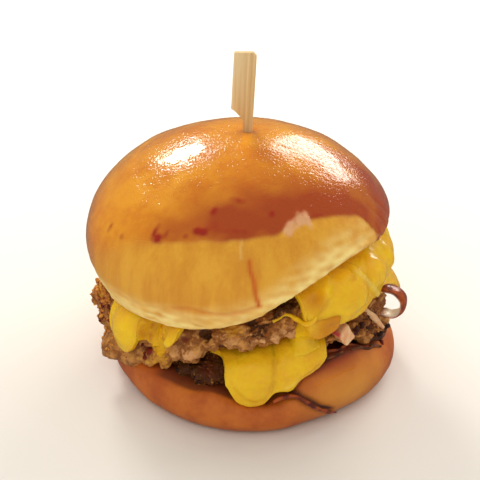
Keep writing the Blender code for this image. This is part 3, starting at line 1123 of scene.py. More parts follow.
@dataclass
class TopBun:
    """The top bun: an ellipsoid that leans to the left, cut along a rising edge."""

    patty: Patty
    centre: Vector = field(default_factory=lambda: Vector((-5.7, 0.2, 56.0)) * MM)
    radius: float = 57.3 * MM
    rise: float = 37.6 * MM
    lean: float = math.radians(4)
    lip: float = 2.5 * MM
    clearance: float = 3.6 * MM
    edge: Outline = Outline((
        (-180, 52), (-120, 41), (-90, 38), (-65, 38.5), (-45, 41), (-30, 43), (-18, 46.5),
        (-6, 51), (2, 56), (13, 61.5), (25, 65.3), (40, 67.5), (58, 67), (90, 67), (140, 62),
    ))
    browning: Outline = Outline((
        (-180, 62), (-130, 52), (-100, 46), (-80, 48), (-66, 60), (-54, 69), (-43, 72.5),
        (-32, 75), (-18, 77), (-8, 78), (3, 79), (14, 81), (32, 80.5), (45, 78.5), (51, 76),
        (55, 70), (62, 67), (90, 66), (130, 64),
    ))
    # Darker patches on the dome, partly toasting and partly painted shade.
    toasted_and_shaded: tuple[Patch, ...] = (
        Patch(-20, 80, 24, 6, 0.35), Patch(14, 82, 30, 6, 0.3), Patch(42, 82, 26, 8, 0.3),
        Patch(66, 74, 14, 14, 0.25), Patch(-42, 76, 12, 5, 0.25),
    )
    # Where painted shade mixed with toasting darkens the dome's front and right: the turn it starts over
    # and the height it fades over.
    toast_shade_turn: tuple[float, float] = (-58, -18)
    toast_shade_height: tuple[float, float] = (81, 94)
    blisters: tuple[Patch, ...] = (
        Patch(-69, 68, 1.1, 2.2, 0.7), Patch(-61, 68.4, 1.6, 1.3, 0.5), Patch(-46, 73, 3.4, 2.0),
        Patch(-48, 75, 1.2, 2.4, 0.7), Patch(-43, 74.8, 1.2, 1.9, 0.6), Patch(-30, 77.9, 4.2, 1.6),
        Patch(-26, 79, 5, 2.6, 0.4), Patch(-28, 83.3, 2.2, 1.3, 0.8), Patch(-18, 86, 6, 0.9, 0.5),
        Patch(1, 83.6, 2.2, 1.0, 0.7), Patch(55, 68.8, 2.6, 2.2), Patch(25, 81.8, 4, 0.8, 0.4),
        Patch(-35, 76, 1.6, 1.0, 0.5), Patch(58, 70.5, 1.5, 3.0, 0.5), Patch(-15, 79.5, 7, 0.9, 0.35),
    )
    flakes: tuple[Patch, ...] = (
        Patch(8.5, 79.9, 4.6, 2.6, 1.1, 22), Patch(13, 81.6, 4.6, 2.0, 0.9, 30),
        Patch(18, 82.0, 3.8, 2.0, 0.9, 12), Patch(19, 80.4, 2.8, 2.0, 0.8, -40),
        Patch(14.5, 80.6, 4.0, 1.4, 0.6),
    )
    crease: Trace = Trace(((-12.6, 80), (-12.3, 77.5), (-12.2, 75), (-11.6, 72.8)), 0.5)
    shaded_fissure: Trace = Trace(((-8.4, 72), (-7.9, 69.5), (-6.4, 66.5), (-5.6, 62), (-4.0, 57.5)), 0.7)
    wrinkles: tuple[Trace, ...] = (
        Trace(((-34, 52), (-28, 53.6), (-22, 53.2), (-15, 53.4), (-9, 55.4), (-4, 57)), 0.8),
        Trace(((-55, 47), (-46, 47.4), (-38, 50)), 0.9, 0.7),
        Trace(((-25, 49.6), (-18, 50.3), (-12, 53)), 0.7, 0.6),
        Trace(((60, 79), (64, 72), (66, 67)), 0.8, 0.5),
        Trace(((68, 80), (72, 73), (74, 67)), 0.8, 0.5),
    )
    pick_place: tuple[float, float] = (-4.0, 8.7)
    dimple_width: float = 3.2
    dimple_depth: float = 0.9
    grid: tuple[int, int] = (420, 200)
    fine_from: float = 22 * MM
    ripples: tuple[Ripple, ...] = (Ripple(16, 0.35, 1), Ripple(5, 0.07, 4), Ripple(1.3, 0.05, 9))
    torn: tuple[Ripple, ...] = (Ripple(5, 0.825, 12, 0.5), Ripple(2.2, 0.45, 13, 0.6))
    stripes: tuple[Ripple, ...] = (Ripple(2.4, 0.22, 7, 12),)
    glaze_rise: float = 0.4
    crease_rise: float = 0.5
    flake_rise: float = 0.7
    blister_rise: float = 0.25
    fissure_depth: float = 0.8
    wrinkle_depth: float = 0.6
    rings: int = 16

    def point(self, azimuth: float, latitude: float) -> Vector:
        """A point of the whole ellipsoid, by an azimuth and a latitude in radians."""
        height = self.rise * math.sin(latitude)
        flat = around(azimuth, self.radius * math.cos(latitude), height)
        return self.centre + Matrix.Rotation(-self.lean, 3, "Y") @ flat

    def cut(self, azimuth: float) -> tuple[float, float]:
        """The latitude and the height of the cut edge at an azimuth in radians."""
        side = self.point(azimuth, 0)
        height = self.edge.at(math.atan2(side.x, -side.y))
        return math.asin((height + self.lip / 2 - side.z) / self.rise), height

    def profile(self, azimuth: float) -> list[Vector]:
        """The bun's profile at an azimuth in radians, from the middle of its underside."""
        top, patty = self.patty.top, self.patty
        latitude, edge = self.cut(azimuth)
        shoulder = patty.radius.at(azimuth) - patty.rounding
        flat = patty.flat_radius
        points = [Vector((0, 0, top.at(0, 0) + self.clearance))]
        for radius in (flat, mix(flat, shoulder, 0.5), shoulder):
            points.append(around(azimuth, radius, top.at(azimuth, radius) + self.clearance))
        corner = self.point(azimuth, latitude)
        lip = around(azimuth, self.lip, 0)
        inside = corner - 1.6 * lip
        under = top.at(azimuth, shoulder) + self.clearance
        inside.z = max(edge, mix(under, edge, 0.5)) + self.lip / 2
        points.append(inside)
        for inward in (0.9, 0.4):
            lowest = corner - inward * lip
            lowest.z = edge
            points.append(lowest)
        for ring in range(self.rings):
            points.append(self.point(azimuth, mix(latitude, math.pi / 2, ring / self.rings)))
        points.append(self.point(0, math.pi / 2))
        return points

    def _dimple(self, skin: Skin) -> np.ndarray:
        """How far each point is into the dimple round the pick, from 0 to 1."""
        across, deep = self.pick_place
        off_pick = np.hypot(skin.co[:, 0] / MM - across, skin.co[:, 1] / MM - deep)
        return np.exp(-((off_pick / self.dimple_width) ** 2)) * soft_step(skin.height, 80, 85)

    def build(self, material: bpy.types.Material) -> bpy.types.Object:
        """Builds and dresses the bun.

        Args:
            material: The crust's finish.

        Returns:
            The dressed bun.
        """
        skin = Skin(*self.grid)
        skin.form(self.profile, self.fine_from)
        above = skin.height - self.edge.over(skin.azimuth) / MM
        outside = soft_step(skin.radius, 44, 48)
        facing = soft_step(skin.normal[:, 2], -0.9, -0.4)
        brown_line = self.browning.over(skin.azimuth) / MM + 0.5 * skin.waves(5, 21)
        fade = 0.8 + 7 * soft_fall(np.degrees(skin.azimuth), -70, -38)
        browned = soft_step(skin.height - brown_line, -fade, fade)
        crumb = soft_fall(above, 1, 8) * (1 - browned)
        striped = soft_step(above, 1, 6) * (1 - browned) * outside
        crease, shaded_fissure = skin.trace(self.crease), skin.trace(self.shaded_fissure)
        flakes, blisters = skin.patches(self.flakes), skin.patches(self.blisters)
        dimple = self._dimple(skin)
        relief = self.glaze_rise * browned * outside + skin.ripples(self.ripples)
        relief = relief + crumb * skin.ripples(self.torn) + striped * skin.ripples(self.stripes)
        relief = relief + self.crease_rise * crease - self.fissure_depth * shaded_fissure
        relief = relief + self.flake_rise * flakes + self.blister_rise * blisters
        relief = relief - self.wrinkle_depth * skin.traces(self.wrinkles)
        relief = relief - self.dimple_depth * dimple
        skin.push(relief * facing)
        degrees = np.degrees(skin.azimuth)
        # Painted shade mixed with toasting: darker low on the dome's front and right, which face away from
        # the lights, and in the dimple round the pick.
        ahead = soft_step(degrees, *self.toast_shade_turn) * soft_fall(degrees, 80, 125)
        low = soft_fall(skin.height, *self.toast_shade_height)
        toast_and_shade = ahead * (0.26 + 0.6 * low) * (1 + 0.5 * skin.waves(14, 16) + 0.25 * skin.waves(5, 18))
        toast_and_shade = toast_and_shade + skin.patches(self.toasted_and_shaded) * (1 + 0.35 * skin.waves(8, 15))
        # Painted shade: the side's first fold is darkened along with the fissure.
        folds = 0.4 * skin.trace(self.wrinkles[0]) * (1 - browned)
        rim = soft_fall(above, 1.5, 13) * (0.85 + 0.9 * skin.waves(4.5, 17, 0.45))
        duller = 0.3 * soft_step(degrees, -36, -20) * soft_fall(degrees, -4, 12)
        duller = duller + 0.6 * soft_step(degrees, 25, 50)
        skin.mark("browned", browned)
        skin.mark("toast_and_shade", toast_and_shade + 0.10 * skin.waves(20, 19) + 0.6 * dimple)
        skin.mark("rim", rim * (1 - duller))
        skin.mark("shaded_fissure", 1.2 * shaded_fissure + folds)
        skin.mark("blister", blisters * (1.15 + 0.8 * skin.waves(1.8, 22)))
        skin.mark("crease", 0.3 * crease)
        skin.mark("flake", 0.85 * soft_step(flakes * (1 + 0.8 * skin.waves(2.6, 23)), 0.2, 1.0))
        return skin.piece("glazed_top_bun", material)


@dataclass
class Pick:
    """A bamboo pick cut to a paddle above and a point below."""

    place: Vector = field(default_factory=lambda: Vector((-4.0, 8.7, 19.0)) * MM)
    turn: float = math.radians(-6)
    length: float = 105 * MM
    thickness: float = 2.2 * MM
    shaft: float = 3.6 * MM
    paddle: float = 22.5 * MM
    overhang: float = 4.7 * MM
    chamfer: float = 1.4 * MM
    shoulder: float = 4.2 * MM
    point: float = 12 * MM
    tip: float = 0.8 * MM
    rounding: float = 0.28 * MM

    def build(self, material: bpy.types.Material) -> bpy.types.Object:
        """Builds and dresses the pick.

        Args:
            material: The bamboo's finish.

        Returns:
            The dressed pick.
        """
        half = self.shaft / 2
        paddle = self.length - self.paddle
        corners = (
            (-self.tip / 2, 0), (self.tip / 2, 0), (half, self.point),
            (half, self.length - self.chamfer), (half - self.chamfer, self.length),
            (-half - self.overhang + 0.2 * self.chamfer, self.length - 0.3 * MM),
            (-half - self.overhang, self.length - 0.8 * MM), (-half - self.overhang, paddle),
            (-half - 0.7 * self.overhang, paddle - 0.2 * self.shoulder),
            (-half, paddle - self.shoulder), (-half, self.point),
        )
        bm = bmesh.new()
        verts = [bm.verts.new((across, self.thickness / 2, up)) for across, up in corners]
        face = bm.faces.new(verts)
        grown = bmesh.ops.extrude_face_region(bm, geom=[face])
        moved = [item for item in grown["geom"] if isinstance(item, bmesh.types.BMVert)]
        bmesh.ops.translate(bm, verts=moved, vec=(0, -self.thickness, 0))
        bmesh.ops.bevel(
            bm, geom=bm.edges, offset=self.rounding, affect="EDGES", segments=3,
            profile=0.5, material=-1,
        )
        bmesh.ops.recalc_face_normals(bm, faces=bm.faces)
        bmesh.ops.rotate(bm, verts=bm.verts, matrix=Matrix.Rotation(self.turn, 3, "Z"))
        bmesh.ops.translate(bm, verts=bm.verts, vec=self.place)
        obj = finished("bamboo_pick", bm, material)
        obj.data.set_sharp_from_angle(angle=math.radians(40))
        # Painted highlight: a paler strip about a millimetre wide along the paddle's left edge.
        cut = obj.data.attributes.new("cut", "FLOAT", "POINT")
        left = self.place.x - half - self.overhang
        for index, vert in enumerate(obj.data.vertices):
            cut.data[index].value = smooth(1 - (vert.co.x - left) / MM)
        return obj


@dataclass
class Surface:
    """The dressed layers, as something for smaller pieces to lie on."""

    layers: list[bpy.types.Object]
    reach: float = 90 * MM

    def radius(self, azimuth: float, height: float) -> float:
        """The radius of the outermost layer.

        Args:
            azimuth: The direction from the axis, in degrees.
            height: The height, in millimetres.

        Returns:
            The radius in metres, or 0 where nothing is met.
        """
        angle = math.radians(azimuth)
        start = around(angle, self.reach, height * MM)
        inwards = around(angle, -1, 0)
        found = 0.0
        for layer in self.layers:
            hit, place, _, _ = layer.ray_cast(start, inwards, distance=self.reach)
            if hit:
                found = max(found, math.hypot(place.x, place.y))
        return found

    def point(self, azimuth: float, height: float, lift: float) -> Vector:
        """The point a lift in metres off the layers, at degrees of azimuth and millimetres up."""
        return around(math.radians(azimuth), self.radius(azimuth, height) + lift, height * MM)


def tube(
    name: str, route: list[Vector], radii: list[float], sides: int, material: bpy.types.Material
) -> bpy.types.Object:
    """A tapering tube along a smooth line.

    Args:
        name: The object's name.
        route: The points that the line passes.
        radii: The tube's radius at each of them, in metres.
        sides: The number of its faces round, a multiple of 4.
        material: The finish.

    Returns:
        The new object, with its ends closed.
    """
    curve = bpy.data.curves.new(name, "CURVE")
    curve.dimensions = "3D"
    curve.bevel_depth = 1 * MM
    curve.bevel_resolution = sides // 4
    curve.use_fill_caps = True
    curve.resolution_u = 8
    spline = curve.splines.new("BEZIER")
    spline.bezier_points.add(len(route) - 1)
    for point, place, radius in zip(spline.bezier_points, route, radii):
        point.co = place
        point.radius = radius / MM
        point.handle_left_type = point.handle_right_type = "AUTO"
    holder = bpy.data.objects.new(name, curve)
    bpy.context.scene.collection.objects.link(holder)
    bpy.context.view_layer.update()
    evaluated = holder.evaluated_get(bpy.context.evaluated_depsgraph_get())
    mesh = bpy.data.meshes.new_from_object(evaluated)
    bpy.data.objects.remove(holder)
    bm = bmesh.new()
    bm.from_mesh(mesh)
    bpy.data.meshes.remove(mesh)
    bmesh.ops.remove_doubles(bm, verts=bm.verts, dist=0.01 * MM)
    bmesh.ops.recalc_face_normals(bm, faces=bm.faces)
    for vert in bm.verts:
        vert.co += noise.noise_vector(vert.co / TUBE_WAVES) * TUBE_WOBBLE
    return finished(name, bm, material)


@dataclass
class OnionDice:
    """A cube of red onion, wedged between the cheese and the lower patty."""

    size: Vector = field(default_factory=lambda: Vector((5.8, 5.6, 7.0)) * MM)
    azimuth: float = math.radians(34.8)
    radius: float = 51.0 * MM
    height: float = 36.3 * MM
    tilt: tuple[float, float] = (math.radians(-8), math.radians(-38))
    rounding: float = 0.9 * MM
    foot: float = 0.85
    bow: float = 0.35 * MM
    wobble: float = 0.3 * MM

    def build(self, material: bpy.types.Material) -> bpy.types.Object:
        """Builds and dresses the dice.

        Args:
            material: The onion's finish.

        Returns:
            The dressed dice.
        """
        bm = bmesh.new()
        bmesh.ops.create_cube(bm, size=1)
        for vert in bm.verts:
            narrow = 1 if vert.co.z > 0 else self.foot
            vert.co = Vector(a * b for a, b in zip(vert.co, self.size))
            vert.co.x *= narrow
        bmesh.ops.bevel(
            bm, geom=bm.edges, offset=self.rounding, affect="EDGES", segments=3,
            profile=0.5, material=-1,
        )
        bmesh.ops.subdivide_edges(bm, edges=bm.edges, cuts=5, use_grid_fill=True)
        skin = []
        for vert in bm.verts:
            skin.append((vert.co.z / self.size.z + 0.5) - 0.5 * (vert.co.x / self.size.x + 0.5))
            vert.co.x += self.bow * math.sin(vert.co.z / self.size.z * 3)
            vert.co += noise.noise_vector(vert.co / (3 * MM)) * self.wobble
        turn = Matrix.Rotation(self.azimuth, 3, "Z") @ Matrix.Rotation(self.tilt[1], 3, "Y")
        turn = turn @ Matrix.Rotation(self.tilt[0], 3, "X")
        bmesh.ops.rotate(bm, verts=bm.verts, matrix=turn)
        bmesh.ops.translate(bm, verts=bm.verts, vec=around(self.azimuth, self.radius, self.height))
        obj = finished("red_onion_dice", bm, material)
        layer = obj.data.attributes.new("skin", "FLOAT", "POINT")
        layer.data.foreach_set("value", skin)
        return obj


@dataclass
class OnionLoop:
    """A thin strip of fried onion, folded back on itself at the right."""

    azimuth: float = math.radians(62)
    radius: float = 55.2 * MM
    height: float = 40 * MM
    outer: float = 6.2 * MM
    wall: float = 1.1 * MM
    width: float = 6.5 * MM
    leg: float = 3.4 * MM
    cupping: float = 0.10
    wobble: float = 0.5 * MM
    steps: int = 24
    rows: int = 10

    def build(self, material: bpy.types.Material) -> bpy.types.Object:
        """Builds and dresses the loop.

        Args:
            material: The onion's finish.

        Returns:
            The dressed loop.
        """
        line = [Vector((-self.leg, 0, -self.outer))]
        for step in range(self.steps + 1):
            angle = mix(-math.pi / 2, math.pi / 2, step / self.steps)
            line.append(Vector((self.outer * math.cos(angle), 0, self.outer * math.sin(angle))))
        line.append(Vector((-self.leg, 0, self.outer)))
        bm = bmesh.new()
        side = [bm.verts.new(place - Vector((0, self.width / 2, 0))) for place in line]
        edges = [bm.edges.new(pair) for pair in zip(side[:-1], side[1:])]
        for _ in range(self.rows):
            grown = bmesh.ops.extrude_edge_only(bm, edges=edges)["geom"]
            edges = [item for item in grown if isinstance(item, bmesh.types.BMEdge)]
            ends = [item for item in grown if isinstance(item, bmesh.types.BMVert)]
            bmesh.ops.translate(bm, verts=ends, vec=(0, self.width / self.rows, 0))
        for vert in bm.verts:
            cup = 1 - self.cupping * (vert.co.y / self.width * 2) ** 2
            vert.co.x *= cup
            vert.co.z *= cup
            vert.co += noise.noise_vector(vert.co / (5 * MM)) * self.wobble
        bmesh.ops.recalc_face_normals(bm, faces=bm.faces)
        if sum(face.calc_center_median().dot(face.normal) for face in bm.faces) < 0:
            bmesh.ops.reverse_faces(bm, faces=bm.faces)
        bmesh.ops.solidify(bm, geom=bm.faces, thickness=self.wall)
        bmesh.ops.recalc_face_normals(bm, faces=bm.faces)
        bm.normal_update()
        # The inward faces take the pale inner colour, partly inner skin and partly painted highlight.
        inner = []
        for vert in bm.verts:
            outwards = Vector((vert.co.x, 0, vert.co.z)).normalized()
            inner.append(smooth(-vert.normal.dot(outwards)))
        turn = Matrix.Rotation(self.azimuth - math.pi / 2, 3, "Z")
        bmesh.ops.rotate(bm, verts=bm.verts, matrix=turn)
        bmesh.ops.translate(bm, verts=bm.verts, vec=around(self.azimuth, self.radius, self.height))
        obj = finished("fried_onion_loop", bm, material)
        layer = obj.data.attributes.new("inner", "FLOAT", "POINT")
        layer.data.foreach_set("value", inner)
        rounded = obj.modifiers.new("rounded_edges", "SUBSURF")
        rounded.levels = rounded.render_levels = 1
        return obj


@dataclass
class OnionStrand:
    """A dark strand of fried onion in the bottom bun's tear."""

    bun: BottomBun
    radius: float = 0.85 * MM
    clearance: float = 0.9 * MM
    start_radius: float = 54 * MM
    route: tuple[tuple[float, float], ...] = (
        (4, 14.9), (9, 16.8), (13, 16.6), (17, 14.4), (21, 11.2), (26, 8.0), (31, 5.2),
    )

    def build(self, material: bpy.types.Material) -> bpy.types.Object:
        """Builds and dresses the strand.

        Args:
            material: The onion's finish.

        Returns:
            The dressed strand.
        """
        points, radii = [], []
        for index, (degrees, height) in enumerate(self.route):
            azimuth = math.radians(degrees)
            surface = self.bun.radius_at(azimuth, height * MM) + self.radius + self.clearance
            points.append(around(azimuth, max(surface, self.start_radius), height * MM))
            radii.append(self.radius * (0.75 + 0.35 * (index % 2)))
        radii[-1] = 0.35 * self.radius
        return tube("fried_onion_strand", points, radii, 12, material)


@dataclass
class HangingStrip:
    """A pale strip of onion that hangs down the lower patty's side below the loop."""

    surface: Surface
    route: tuple[tuple[float, float], ...] = (
        (56, 38.5), (58, 35.5), (60.5, 32), (63, 29), (65.3, 26),
    )
    half: tuple[float, ...] = (0.7, 1.2, 1.3, 1.15, 0.6)
    lift: float = 0.6 * MM

    def build(self, material: bpy.types.Material) -> bpy.types.Object:
        """Builds and dresses the strip.

        Args:
            material: The onion's finish.

        Returns:
            The dressed strip.
        """
        points = [self.surface.point(*place, self.lift) for place in self.route]
        return tube("pale_onion_strip", points, [half * MM for half in self.half], 16, material)


@dataclass
class Strings:
    """Thin strings of melted cheese across the upper patty."""

    surface: Surface
    routes: tuple[tuple[tuple[float, float], ...], ...] = (
        ((2.5, 46.6), (5.3, 47.2), (8, 48.4), (11, 48.2), (14.5, 49.6), (17, 51.5)),
    )
    thick: float = 0.9 * MM
    lift: float = 0.2 * MM

    def build(self, material: bpy.types.Material) -> list[bpy.types.Object]:
        """Builds and dresses the strings.

        Args:
            material: The cheese's finish.

        Returns:
            One object a string.
        """
        made = []
        for number, route in enumerate(self.routes, 1):
            points = [self.surface.point(*place, self.lift) for place in route]
            radii = [
                self.thick * (0.6 + 0.5 * i / len(points) + 0.8 * noise.noise(p / (3 * MM)))
                for i, p in enumerate(points)
            ]
            made.append(tube(f"cheese_string_{number}", points, radii, 12, material))
        return made


@dataclass
class Strips:
    """Strips of fried onion and seared scraps along the bottom bun's crest, at the right; the dark ones
    also stand for painted shade where the filling meets the crest.

    Each point of a route is an azimuth, a depth below the crest and a half thickness.
    """

    bun: BottomBun
    routes: tuple[tuple[tuple[float, float, float], ...], ...] = (
        ((14, 1.4, 0.7), (17.5, 0.7, 1.3), (21, 0.6, 1.4), (24.5, 0.6, 0.8)),
        ((23, 1.0, 0.4), (27, 0.6, 0.7), (32, 0.7, 0.5), (38, 0.5, 0.6)),
        ((25, 0.0, 0.5), (31, 0.0, 0.7), (37, 0.1, 0.5), (44, 0.0, 0.7), (50, 0.4, 0.4)),
        ((43, 0.7, 0.4), (48, 0.6, 0.8), (54, 1.1, 0.5), (60, 0.8, 0.9), (65, 1.8, 0.4)),
        ((56, 0.1, 0.7), (63, 0.0, 1.1), (70, 0.4, 1.2), (77, 0.9, 0.9), (84, 1.0, 0.6)),
    )

    def build(self, materials: list[bpy.types.Material]) -> list[bpy.types.Object]:
        """Builds and dresses the strips.

        Args:
            materials: One finish a strip.

        Returns:
            One object a strip.
        """
        made = []
        for number, (route, material) in enumerate(zip(self.routes, materials), 1):
            points = []
            for degrees, below, thickness in route:
                azimuth = math.radians(degrees)
                height = self.bun.edge_height.at(azimuth) - below * MM
                radius = self.bun.radius_at(azimuth, height) + 0.2 * thickness * MM
                points.append(around(azimuth, radius, height + 0.5 * thickness * MM))
            radii = [thickness * MM for _, _, thickness in route]
            made.append(tube(f"crest_strip_{number}", points, radii, 16, material))
        return made


@dataclass
class Film:
    """A thin film of melted cheese stretched over the meat."""

    name: str
    surface: Surface
    left: tuple[tuple[float, float], ...]
    right: tuple[tuple[float, float], ...]
    rounds: int = 12
    rough: float = 0.3
    clearance: float = 0.45
    thickness: float = 0.7
    thin_from: float = 0.92
    tuck_steps: int = 3
    columns: int = 30
    rows: int = 40

    def _edge(self, points: tuple[tuple[float, float], ...], share: float) -> np.ndarray:
        """The azimuth and height a share of the way down one side of the film."""
        place, places, table = share * (len(points) - 1), np.arange(len(points)), np.array(points)
        return np.array([np.interp(place, places, table[:, axis]) for axis in range(2)])

    def _spots(self) -> np.ndarray:
        """The azimuth, height and radius of the layers under each point of the film."""
        spots = np.zeros((self.columns + 1, self.rows + 1, 3))
        for row in range(self.rows + 1):
            left, right = (self._edge(side, row / self.rows) for side in (self.left, self.right))
            for column in range(self.columns + 1):
                azimuth, height = mix(left, right, column / self.columns).tolist()
                spots[column, row] = azimuth, height, self.surface.radius(azimuth, height) / MM
        return spots

    def build(self, material: bpy.types.Material) -> bpy.types.Object:
        """Builds and dresses the film.

        Args:
            material: The cheese's finish.

        Returns:
            The dressed film.
        """
        spots = self._spots()
        radius = spots[:, :, 2]
        floor = radius + self.clearance
        for _ in range(self.rounds):
            padded = np.pad(radius, 1, mode="edge")
            mean = (padded[:-2, 1:-1] + padded[2:, 1:-1] + padded[1:-1, :-2] + padded[1:-1, 2:]) / 4
            radius = floor.copy()
            radius[1:-1, 1:-1] = np.maximum(mean, floor)[1:-1, 1:-1]
        bm = bmesh.new()
        bmesh.ops.create_grid(bm, x_segments=self.columns, y_segments=self.rows, size=0.5)
        thin = bm.verts.layers.float.new("thin")
        for vert in bm.verts:
            column = round((vert.co.x + 0.5) * self.columns)
            row = round((vert.co.y + 0.5) * self.rows)
            low_enough = smooth(2 * (self.thin_from - row / self.rows))
            vert[thin] = smooth(1.8 * column / self.columns) * low_enough
            azimuth, height, _ = spots[column, row]
            from_edge = min(column, self.columns - column, row, self.rows - row)
            tuck = self.clearance * 2 * (1 - smooth(from_edge / self.tuck_steps))
            out = radius[column, row] - tuck
            out += self.rough * noise.noise(Vector((azimuth / 4, height / 3, 1)))
            vert.co = around(math.radians(azimuth), out * MM, height * MM)
        bmesh.ops.recalc_face_normals(bm, faces=bm.faces)
        if sum(face.calc_center_median().xy.dot(face.normal.xy) for face in bm.faces) < 0:
            bmesh.ops.reverse_faces(bm, faces=bm.faces)
        bmesh.ops.solidify(bm, geom=bm.faces, thickness=self.thickness * MM)
        bmesh.ops.recalc_face_normals(bm, faces=bm.faces)
        return finished(self.name, bm, material)


@dataclass(frozen=True)
class Scatter:
    """Where a kind of small bit lies: a centre, a spread, a count and a size range."""

    azimuth: float
    height: float
    across: float
    up: float
    count: int
    smallest: float
    largest: float
    proud: float = 0.2


@dataclass
class Bits:
    """Small irregular bits of one kind, joined into one piece."""

    name: str
    surface: Surface
    scatters: tuple[Scatter, ...]
    seed: int
    rough: float = 0.45

    @classmethod
    def sides(cls, surface: Surface) -> tuple["Bits", tuple["Bits", "Bits", "Bits"]]:
        """Places the bits.

        Args:
            surface: What they lie on.

        Returns:
            The crumbs at the left, and the charred, red and crisp bits elsewhere.
        """
        left = cls("crisp_crumbs_left", surface, (
            Scatter(-84, 35, 9, 3, 110, 0.35, 1.1, 0.6),
            Scatter(-80, 27, 9, 6, 90, 0.25, 0.8, 0.3),
            Scatter(-70, 19, 9, 3, 40, 0.2, 0.6, 0.2),
        ), 5)
        charred = cls("charred_bits", surface, (
            Scatter(67, 22, 6, 2.4, 12, 0.7, 1.5, 0.1),
            Scatter(49, 31.5, 3.5, 1.8, 7, 0.5, 1.2, 0.1),
            Scatter(-30, 19, 11, 2.4, 16, 0.3, 0.8, 0.0),
        ), 7)
        ruby = cls("ruby_bits", surface, (
            Scatter(-78, 30, 7, 8, 20, 0.35, 0.9, 0.2),
            Scatter(71, 18.5, 3.5, 1.5, 8, 0.6, 1.4, 0.2),
            Scatter(-51, 23, 1.8, 3, 8, 0.5, 1.1, 0.1),
        ), 9)
        crisp = cls("crisp_flecks", surface, (
            Scatter(64, 27, 10, 4, 12, 0.25, 0.5, 0.2),
            Scatter(-30, 28, 10, 4, 14, 0.2, 0.4, 0.2),
        ), 11)
        return left, (charred, ruby, crisp)

    def build(self, material: bpy.types.Material) -> bpy.types.Object:
        """Builds and dresses the bits.

        Args:
            material: Their finish.

        Returns:
            The dressed bits.
        """
        draw = np.random.default_rng(self.seed)
        bm = bmesh.new()
        for scatter in self.scatters:
            for _ in range(scatter.count):
                aside = draw.uniform(-1, 1) * scatter.across / WRAP_RADIUS
                azimuth = scatter.azimuth + math.degrees(aside)
                height = scatter.height + draw.uniform(-1, 1) * scatter.up
                size = draw.uniform(scatter.smallest, scatter.largest)
                limits = ((0.7, 1.3), (0.6, 1.0), (0.7, 1.2))
                shape = Vector([draw.uniform(low, high) for low, high in limits])
                angle = draw.uniform(0, math.tau)
                turn = Matrix.Rotation(angle, 3, Vector(draw.normal(size=3)).normalized())
                radius = self.surface.radius(azimuth, height)
                if radius == 0:
                    continue
                centre = around(math.radians(azimuth), radius + scatter.proud * size * MM, height * MM)
                made = bmesh.ops.create_icosphere(bm, subdivisions=2, radius=1)["verts"]
                for vert in made:
                    rough = 1 + self.rough * noise.noise(vert.co * 1.7 + centre * 900)
                    local = Vector(a * b for a, b in zip(vert.co * rough, shape))
                    vert.co = centre + turn @ (local * size * MM)
        return finished(self.name, bm, material)


